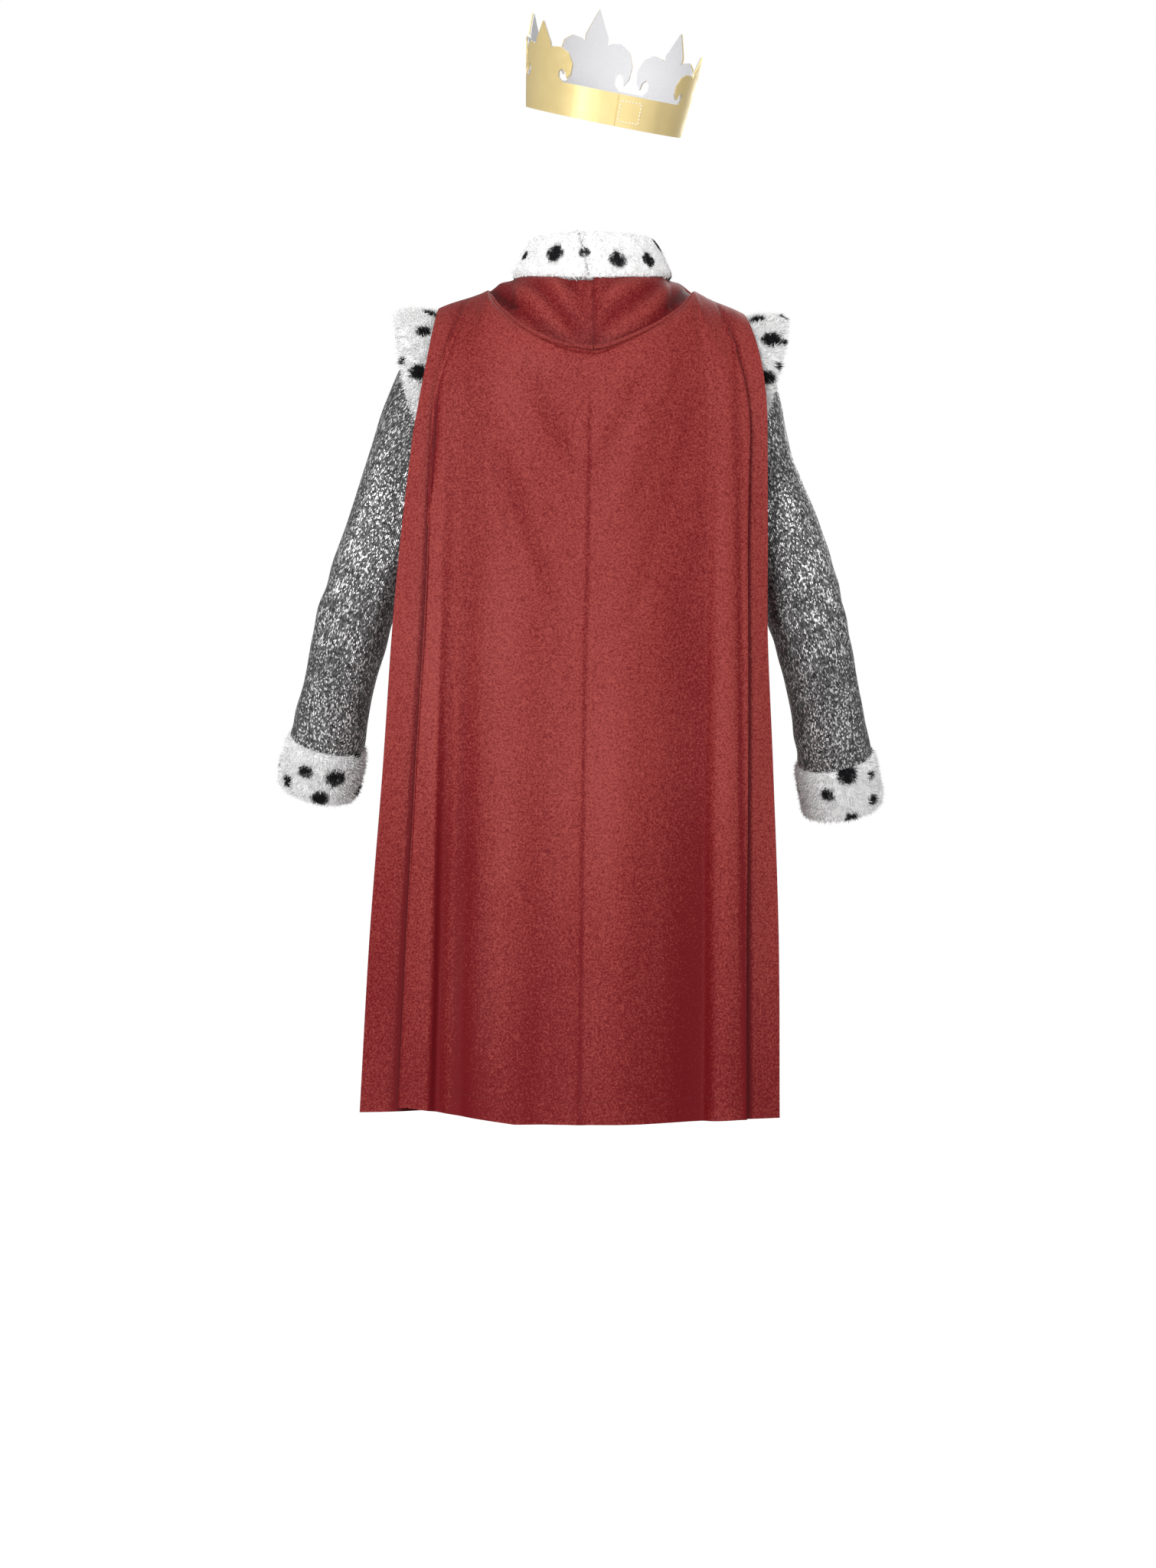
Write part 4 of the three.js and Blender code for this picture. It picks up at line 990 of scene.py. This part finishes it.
# The long shades of the folds: each follows a line and has two widths, as a hollow does. The tuck's line is
# given by how far down it runs, and the turned fold's shade by the grid's columns.
CAPE_SHADES = dict(
    top_x=[-127, -108, 104, 128, 72, -40],
    hem_x=[-143, -118, 98, 137, 62, -52],
    left=[1.6, 8, 40, 3.5, 30, 26],
    right=[13, 22, 9, 3.5, 18, 26],
    top_shade=[0.2, 0.2, 0.1, 0.3, 0.0, 0.0],
    hem_shade=[0.9, 0.75, 0.8, 0.9, 0.3, 0.22],
)
SHOULDER_TUCK = dict(
    down=[15, 40, 93, 122, 155, 185, 215, 245],
    x=[-100, -114, -133, -139.5, -141.5, -143.5, -145.5, -146.5],
    width=[1.3, 1.4, 1.8, 4.5, 6, 4, 1.2, 0.8],
    shade=[0, 0.6, 0.75, 0.95, 1, 0.95, 0.7, 0],
)
TURNED_SHADE = dict(column=[0, 14, 16, 18, 51, 53, 56, 60], shade=[0, 0.05, 0.75, 1, 1, 0.5, 0.1, 0])


def shoulder_tuck(x, z):
    """How deep each place lies in the tuck that runs from the left shoulder seam into the turned fold: a step
    at its outer side, which rises again softly towards the middle."""
    # This value is both the tuck's relief and its painted shade.
    down, *columns = SHOULDER_TUCK.values()
    line, width, shade = [np.interp(-z, down, column) for column in columns]
    inwards = x - line
    return shade * smooth(inwards, -0.9, 0.5) * np.exp(-(np.maximum(0, inwards) / width) ** 2)


def cape_painted_shade(side, x, z, off):
    """The painted shade at each place: the deepest of the long shades, the shade in the turned fold, in the
    drag lines and in the tuck, and the painted shadow along the middle seam."""
    down = smooth(-z, 90, 560)
    fold = 0 * x
    for top_x, hem_x, left, right, top_shade, hem_shade in zip(*CAPE_SHADES.values()):
        away = x - lerp(top_x, hem_x, np.clip(-(z + 90) / 665, 0, 1))
        away = away / np.where(away < 0, left, right)
        fold = np.maximum(fold, lerp(top_shade, hem_shade, down) * np.exp(-away * away))
    # Painted shade inside the turned fold, fainter near the shoulder.
    turned = np.interp(np.arange(x.shape[1]), *TURNED_SHADE.values()) * lerp(0.45, 1, smooth(-z, 90, 230))
    fold = np.maximum(fold, turned)
    fold = np.maximum(fold, 0.12 * np.clip(drags(x, z), 0, 3) * smooth(-z, 60, 100))
    if side < 0:
        tuck = shoulder_tuck(x, z)
        fold = np.maximum(fold, 0.84 * tuck + 0.16 * smooth(tuck, 0.55, 0.8))
    # Painted shadow along the middle seam.
    return np.maximum(fold, 0.6 * np.exp(-((off / 2.2) ** 2)) * smooth(-z, 95, 160))


def cape_half(side):
    """One half with its finer relief: soft drags under the neckline, the tuck at the left shoulder, puckers
    and a shallow valley along the middle seam, and the small kick of the hem at its foot. Both halves are
    moved straight back at the seam, so that they meet."""
    grid = cape_grid(side)
    rows, columns = grid.shape[:2]
    row, column = np.arange(rows), np.arange(columns)
    x, z = grid[..., 0], grid[..., 2]
    off = abs(x - grid[:, -1:, 0])
    face = unit(lerp(np.array([0.0, -1.0, 0.0]), normals_of(grid, -side), smooth(off, 0, 12)[..., None]))
    free = np.concatenate([np.linspace(0, 0.6, FOLDED), np.ones(BACK)])
    relief = ripple(grid * [1, 0.3, 0.22], 70 + side, 70, 0.9) * free * smooth(off, 0, 16)
    relief = relief - drags(x, z) * smooth(-z, 60, 100)
    if side < 0:
        relief = relief - 1.5 * shoulder_tuck(x, z)
    puckers = 0.3 * np.sin(z / 4.3 + 2 * np.sin(z / 17)) * np.exp(-((off / 7) ** 2)) * smooth(-z, 120, 420)
    valley = 1.3 * np.exp(-((off / 6) ** 2)) + 0.35 * np.exp(-((off / 1.4) ** 2))
    relief = relief + puckers - valley * smooth(-z, 120, 480)
    kick_width = 19 if side < 0 else 8
    relief = relief + smooth(-z, 700, 762) * np.exp(-((off / kick_width) ** 2)) * 4.5
    fade = smooth(row[::-1], 0, 5)[:, None]
    grid = grid + face * (relief * fade)[..., None]
    near_corner = np.exp(-(((column - CAPE_CORNER["column"]) / 6) ** 2))
    thick = SATIN - 0.8 * near_corner * smooth(row, rows - 7, rows - 1)[:, None]
    inner = inset(grid, thick, -side)
    inner[:, -1, 0] = grid[:, -1, 0]
    name = SIDE_NAME[side]
    made = shell(f"cape_{name}_cloth", grid, inner)
    # Painted shade: a dark line about 8 mm below the neckline's top edge, under its hem, added to the painted
    # shade of the folds.
    step = np.linalg.norm(np.diff(grid, axis=0, append=grid[-1:]), axis=-1)
    below_top = step[::-1].cumsum(axis=0)[::-1]
    along_neck = np.concatenate([np.zeros(FOLDED), smooth(np.arange(BACK), 10, 20)])
    painted_shade_under_neck_hem = 0.75 * np.exp(-(((below_top - 8.2) / 1.3) ** 2)) * along_neck
    set_painted_shade(made, np.maximum(cape_painted_shade(side, x, z, off), painted_shade_under_neck_hem))
    body_piece(made, red_satin, [f"cape_{name}"])
    return grid


cape_left_face = cape_half(-1)
cape_right_face = cape_half(1)


def roll(name, path, normal, width, height, sides=14):
    """A flat roll along a path: an oval of that width and height for each point, square to the path and lying
    along the cloth."""
    across = unit(np.cross(unit(np.gradient(path, axis=0)), normal))
    angle = np.linspace(0, 2 * math.pi, sides, endpoint=False)
    wide = (width[:, None] / 2 * np.cos(angle))[..., None]
    high = (height[:, None] / 2 * np.sin(angle))[..., None]
    ring = across[:, None] * wide + normal[:, None] * high
    number = np.arange(len(path) * sides).reshape(len(path), sides)
    right = np.roll(number, -1, axis=1)
    faces = quads(number[:-1], right[:-1], right[1:], number[1:]).tolist()
    faces += [number[0, ::-1].tolist(), number[-1].tolist()]
    return mesh_object(name, (path[:, None] + ring).reshape(-1, 3), faces)


def neck_hem(side, face):
    """The narrow hem that is turned over and stitched along the cape's neckline. It grows out of the corner
    at the shoulder. Returns the line of its stitches and the cloth's normals there."""
    start = CAPE_CORNER["column"] + 3
    edge = face[-1, start:]
    normal = normals_of(face, -side)[-3, start:]
    into = unit(face[-4, start:] - edge)
    grow = smooth(np.arange(len(edge)), -1, 21)
    lie = 0.4 - 2.2 * (1 - grow[:, None])
    path = edge + into * 3.0 + normal * lie
    made = roll(f"cape_{SIDE_NAME[side]}_neck_hem", path, normal, 7.4 * grow, 4.2 * grow)
    body_piece(made, red_satin)
    return edge + into * 7.4 + normal * 0.3, normal


def stitches(name, path, normal, length, gap, thickness, material):
    """A row of stitches along a path: short threads, each a flat diamond tube with pointed ends."""
    reach = np.concatenate([[0], np.linalg.norm(np.diff(path, axis=0), axis=1).cumsum()])
    starts = np.arange(gap / 2, reach[-1] - length, length + gap)
    marks = [starts, starts + length / 2, starts + length]
    first, middle, last = [np.stack([np.interp(m, reach, p) for p in path.T], axis=1) for m in marks]
    up = unit(np.stack([np.interp(marks[1], reach, n) for n in normal.T], axis=1))
    side = np.cross(last - first, up)
    side *= thickness / np.linalg.norm(side, axis=1, keepdims=True)
    up = up * thickness
    ring = [middle - side + up * 0.3, middle + up * 1.3, middle + side + up * 0.3, middle - up * 0.6]
    vertices = np.stack([first, *ring, last], axis=1)
    number = 6 * np.arange(len(starts))[:, None]
    faces = [number + [0, a, b] for a, b in ((1, 2), (2, 3), (3, 4), (4, 1))]
    faces += [number + [5, b, a] for a, b in ((1, 2), (2, 3), (3, 4), (4, 1))]
    made = mesh_object(name, vertices.reshape(-1, 3), np.concatenate(faces).tolist())
    body_piece(made, material)


def thread_material(name, colour):
    """Sewing thread: a matt twisted yarn."""
    group, start, end = node_group(name + "_twist", ["Tone"])
    twist = waves(group, node(group, "ShaderNodeTexCoord").outputs["Object"], "DIAGONAL", 900, 1)
    tone = scaled(group, start.outputs["Tone"], ranged(group, twist, 0, 1, 0.8, 1.1))
    feed(group, end, {"Color": tone, "Roughness": ranged(group, twist, 0, 1, 0.75, 0.6), "Height": twist})
    return cloth_material(name, group, {"Tone": colour}, 0.3)


red_thread = thread_material("red_thread", (0.2, 0.02, 0.022, 1))
HEM_ROW = 3
for side, face in ((-1, cape_left_face), (1, cape_right_face)):
    line, normal = neck_hem(side, face)
    name = SIDE_NAME[side]
    stitches(f"cape_{name}_neck_stitches", line, normal, 2.2, 0.9, 0.4, red_thread)
    hem_normal = normals_of(face, -side)[HEM_ROW, 8:]
    hem_line = face[HEM_ROW, 8:] + hem_normal * 0.15
    stitches(f"cape_{name}_hem_stitches", hem_line, hem_normal, 2.4, 1.0, 0.25, red_thread)

# The lapped edge is stitched above the skirt, along the column that ends nearest to x 10.5.
flap_column = int(np.argmin(abs(right_back_face[-1, :, 0] - 10.5)))
flap_normal = normals_of(right_back_face, 1)[TUNIC_ROWS["skirt"]:, flap_column]
flap_line = right_back_face[TUNIC_ROWS["skirt"]:, flap_column] + flap_normal * 0.15
stitches("tunic_back_stitches", flap_line, flap_normal, 2.2, 0.9, 0.3, red_thread)

# Crown
# A strip of gold-coated cloth on white felt, cut along its top into five fleur-de-lis points and closed by
# lapping its ends at the back, where an oblong is stitched round. It is tipped back and to the right. Angles
# are in degrees.
CROWN_AT = np.array([11.5, 5, 142.5])
CROWN_TURN = 11.5
CROWN_TIP = dict(back=9.7, right=11.3)
CROWN_RADIUS = dict(side=72.5, front=90, mean=82)
CROWN_LAYER = 1.05
CROWN_BAND = 29
CROWN_ENDS = (-200, 184)
CROWN_POINTS = dict(angle=[-115, -57.5, 0, 57.5, 115], height=[79, 84, 100, 92, 75])
FLEUR = dict(
    out=[0, 6, 11, 11, 15, 24, 33, 38, 37, 32.5, 31, 27, 23, 23, 28],
    up=[51, 41, 33, 28, 30, 31, 27, 18, 9, 4, 9, 12, 9, 4, 0],
)


def crown_place(angle, height, inwards):
    """A place on the crown, inwards mm inside its outer face, from its angle from the front and its height
    above the lower edge."""
    turned = np.radians(angle - CROWN_TURN)
    lap = 1.5 * smooth(angle, 146, 158) - 1.5 * smooth(-angle, 164, 174)
    curl = 2.2 * smooth(height, 45, 100) * np.clip((height - 45) / 50, 0, 1)
    size = 1 + 0.0019 * height
    off = lap - inwards + 0.4 * curl
    x = (CROWN_RADIUS["side"] * size + off) * np.sin(turned) - 0.055 * height
    p = point(x, (CROWN_RADIUS["front"] * size + off) * np.cos(turned), height)
    back, right = math.radians(CROWN_TIP["back"]), math.radians(CROWN_TIP["right"])
    c, s = math.cos(back), math.sin(back)
    turn_x = np.array([[1, 0, 0], [0, c, -s], [0, s, c]])
    c, s = math.cos(right), math.sin(right)
    turn_y = np.array([[c, 0, s], [0, 1, 0], [-s, 0, c]])
    return p @ (turn_x @ turn_y).T + CROWN_AT


def crown_outline():
    """The flat strip's outline, as angles and heights: along the lower edge, then back over the points."""
    outline = [(CROWN_ENDS[0], 0), (CROWN_ENDS[1], 0), (CROWN_ENDS[1], CROWN_BAND)]
    out, rise = np.array(FLEUR["out"], float), np.array(FLEUR["up"], float)
    spread = np.degrees(out / CROWN_RADIUS["mean"])
    for angle, height in list(zip(*CROWN_POINTS.values()))[::-1]:
        up = CROWN_BAND + (height - CROWN_BAND) / FLEUR["up"][0] * rise
        outline += list(zip(angle + spread[::-1], up[::-1]))
        outline += list(zip(angle - spread[1:], up[1:]))
    return np.array([*outline, (CROWN_ENDS[0], CROWN_BAND)])


def crown_sheet():
    """The strip filled with small triangles: its points in angle and height, and the faces."""
    outline = crown_outline()
    bm = bmesh.new()
    bm.faces.new([bm.verts.new((a, h, 0)) for a, h in outline]).normal_update()
    bmesh.ops.triangulate(bm, faces=bm.faces[:])
    cuts = [((a, 0, 0), (1, 0, 0)) for a in np.arange(CROWN_ENDS[0] + 3, CROWN_ENDS[1], 3)]
    cuts += [((0, h, 0), (0, 1, 0)) for h in (10, 20, 29, 38, 47, 56, 65, 75, 85)]
    for place, across in cuts:
        parts = bm.verts[:] + bm.edges[:] + bm.faces[:]
        bmesh.ops.bisect_plane(bm, geom=parts, plane_co=place, plane_no=across)
    bmesh.ops.triangulate(bm, faces=bm.faces[:])
    bm.verts.index_update()
    places = np.array([v.co[:2] for v in bm.verts])
    faces = np.array([[v.index for v in f.verts] for f in bm.faces])
    open_loops = [loop for edge in bm.edges if edge.is_boundary for loop in edge.link_loops]
    rim = np.array([[loop.vert.index, loop.link_loop_next.vert.index] for loop in open_loops])
    bm.free()
    return places, faces, rim


crown_flat, crown_faces, crown_rim = crown_sheet()


def crown_layer(name, depth, material, node_name):
    """One layer of the crown, depth mm under its outer face: the flat strip bent round, with closed edges."""
    outer, inner = [crown_place(*crown_flat.T, depth + d) for d in (0, CROWN_LAYER)]
    n = len(outer)
    faces = crown_faces.tolist() + (crown_faces[:, ::-1] + n).tolist()
    faces += [[a, a + n, b + n, b][::-1] for a, b in crown_rim.tolist()]
    a, b, c = [outer[crown_faces[:, k]] for k in range(3)]
    normal = np.cross(b - a, c - a)
    if np.sum(normal * (a - CROWN_AT - [0, 0, 40])) < 0:
        faces = [f[::-1] for f in faces]
    uv = np.concatenate([crown_flat * [CROWN_RADIUS["mean"] * math.pi / 180, 1]] * 2) * MM
    made = mesh_object(name, np.concatenate([outer, inner]), faces, uv[[v for f in faces for v in f]])
    body_piece(made, material, [node_name])
    return made


def foil_group():
    """Gold foil on cloth: the cloth's fine grain shows through, with faint creases and rubbed, paler
    patches."""
    group, start, end = node_group("gold_foil", ["Gold", "Pale"])
    place = node(group, "ShaderNodeTexCoord").outputs["UV"]
    crease = noise(group, place, 55, 6, 0.7, 1.4)
    rubbed = ranged(group, crease, 0.35, 0.68, 0.1, 0.3)
    look = {
        "Color": mixed(group, rubbed, start.outputs["Gold"], start.outputs["Pale"]),
        "Roughness": ranged(group, crease, 0.3, 0.7, 0.3, 0.48),
        "Height": maths(group, "ADD", crease, maths(group, "MULTIPLY", noise(group, place, 900, 2), 0.35)),
    }
    feed(group, end, look)
    return group


def felt_group():
    """White felt: short matted fibres in every direction."""
    group, start, end = node_group("felt", ["Tone"])
    fibre = noise(group, node(group, "ShaderNodeTexCoord").outputs["UV"], 420, 5, bent=2.5)
    tone = scaled(group, start.outputs["Tone"], ranged(group, fibre, 0.3, 0.7, 0.92, 1.02))
    feed(group, end, {"Color": tone, "Roughness": ranged(group, fibre, 0, 1, 0.95, 0.8), "Height": fibre})
    return group


gold_colours = {"Gold": (0.96, 0.75, 0.33, 1), "Pale": (1.0, 0.85, 0.48, 1)}
gold_cloth = cloth_material("gold_cloth", foil_group(), gold_colours, 0.35, {"Metallic": 0.5})
white_felt = cloth_material("white_felt", felt_group(), {"Tone": (0.66, 0.66, 0.675, 1)}, 0.4)
crown_gold = crown_layer("crown_gold_cloth", 0, gold_cloth, "crown_face")
crown_felt = crown_layer("crown_felt_backing", 1.37, white_felt, "crown_backing")

gold_thread = thread_material("gold_thread", (1.0, 0.98, 0.9, 1))
oblong = np.array([(182.5, 5), (168, 5), (168, 23.5), (182.5, 23.5), (182.5, 5)], float)
sides = [np.linspace(a, b, 20, endpoint=False) for a, b in zip(oblong[:-1], oblong[1:])]
oblong_at = np.concatenate([*sides, oblong[-1:]])
oblong_path = crown_place(*oblong_at.T, -0.3)
oblong_normal = oblong_path - crown_place(*oblong_at.T, 1)
stitches("crown_stitches", oblong_path, oblong_normal, 2.4, 0.8, 0.75, gold_thread)
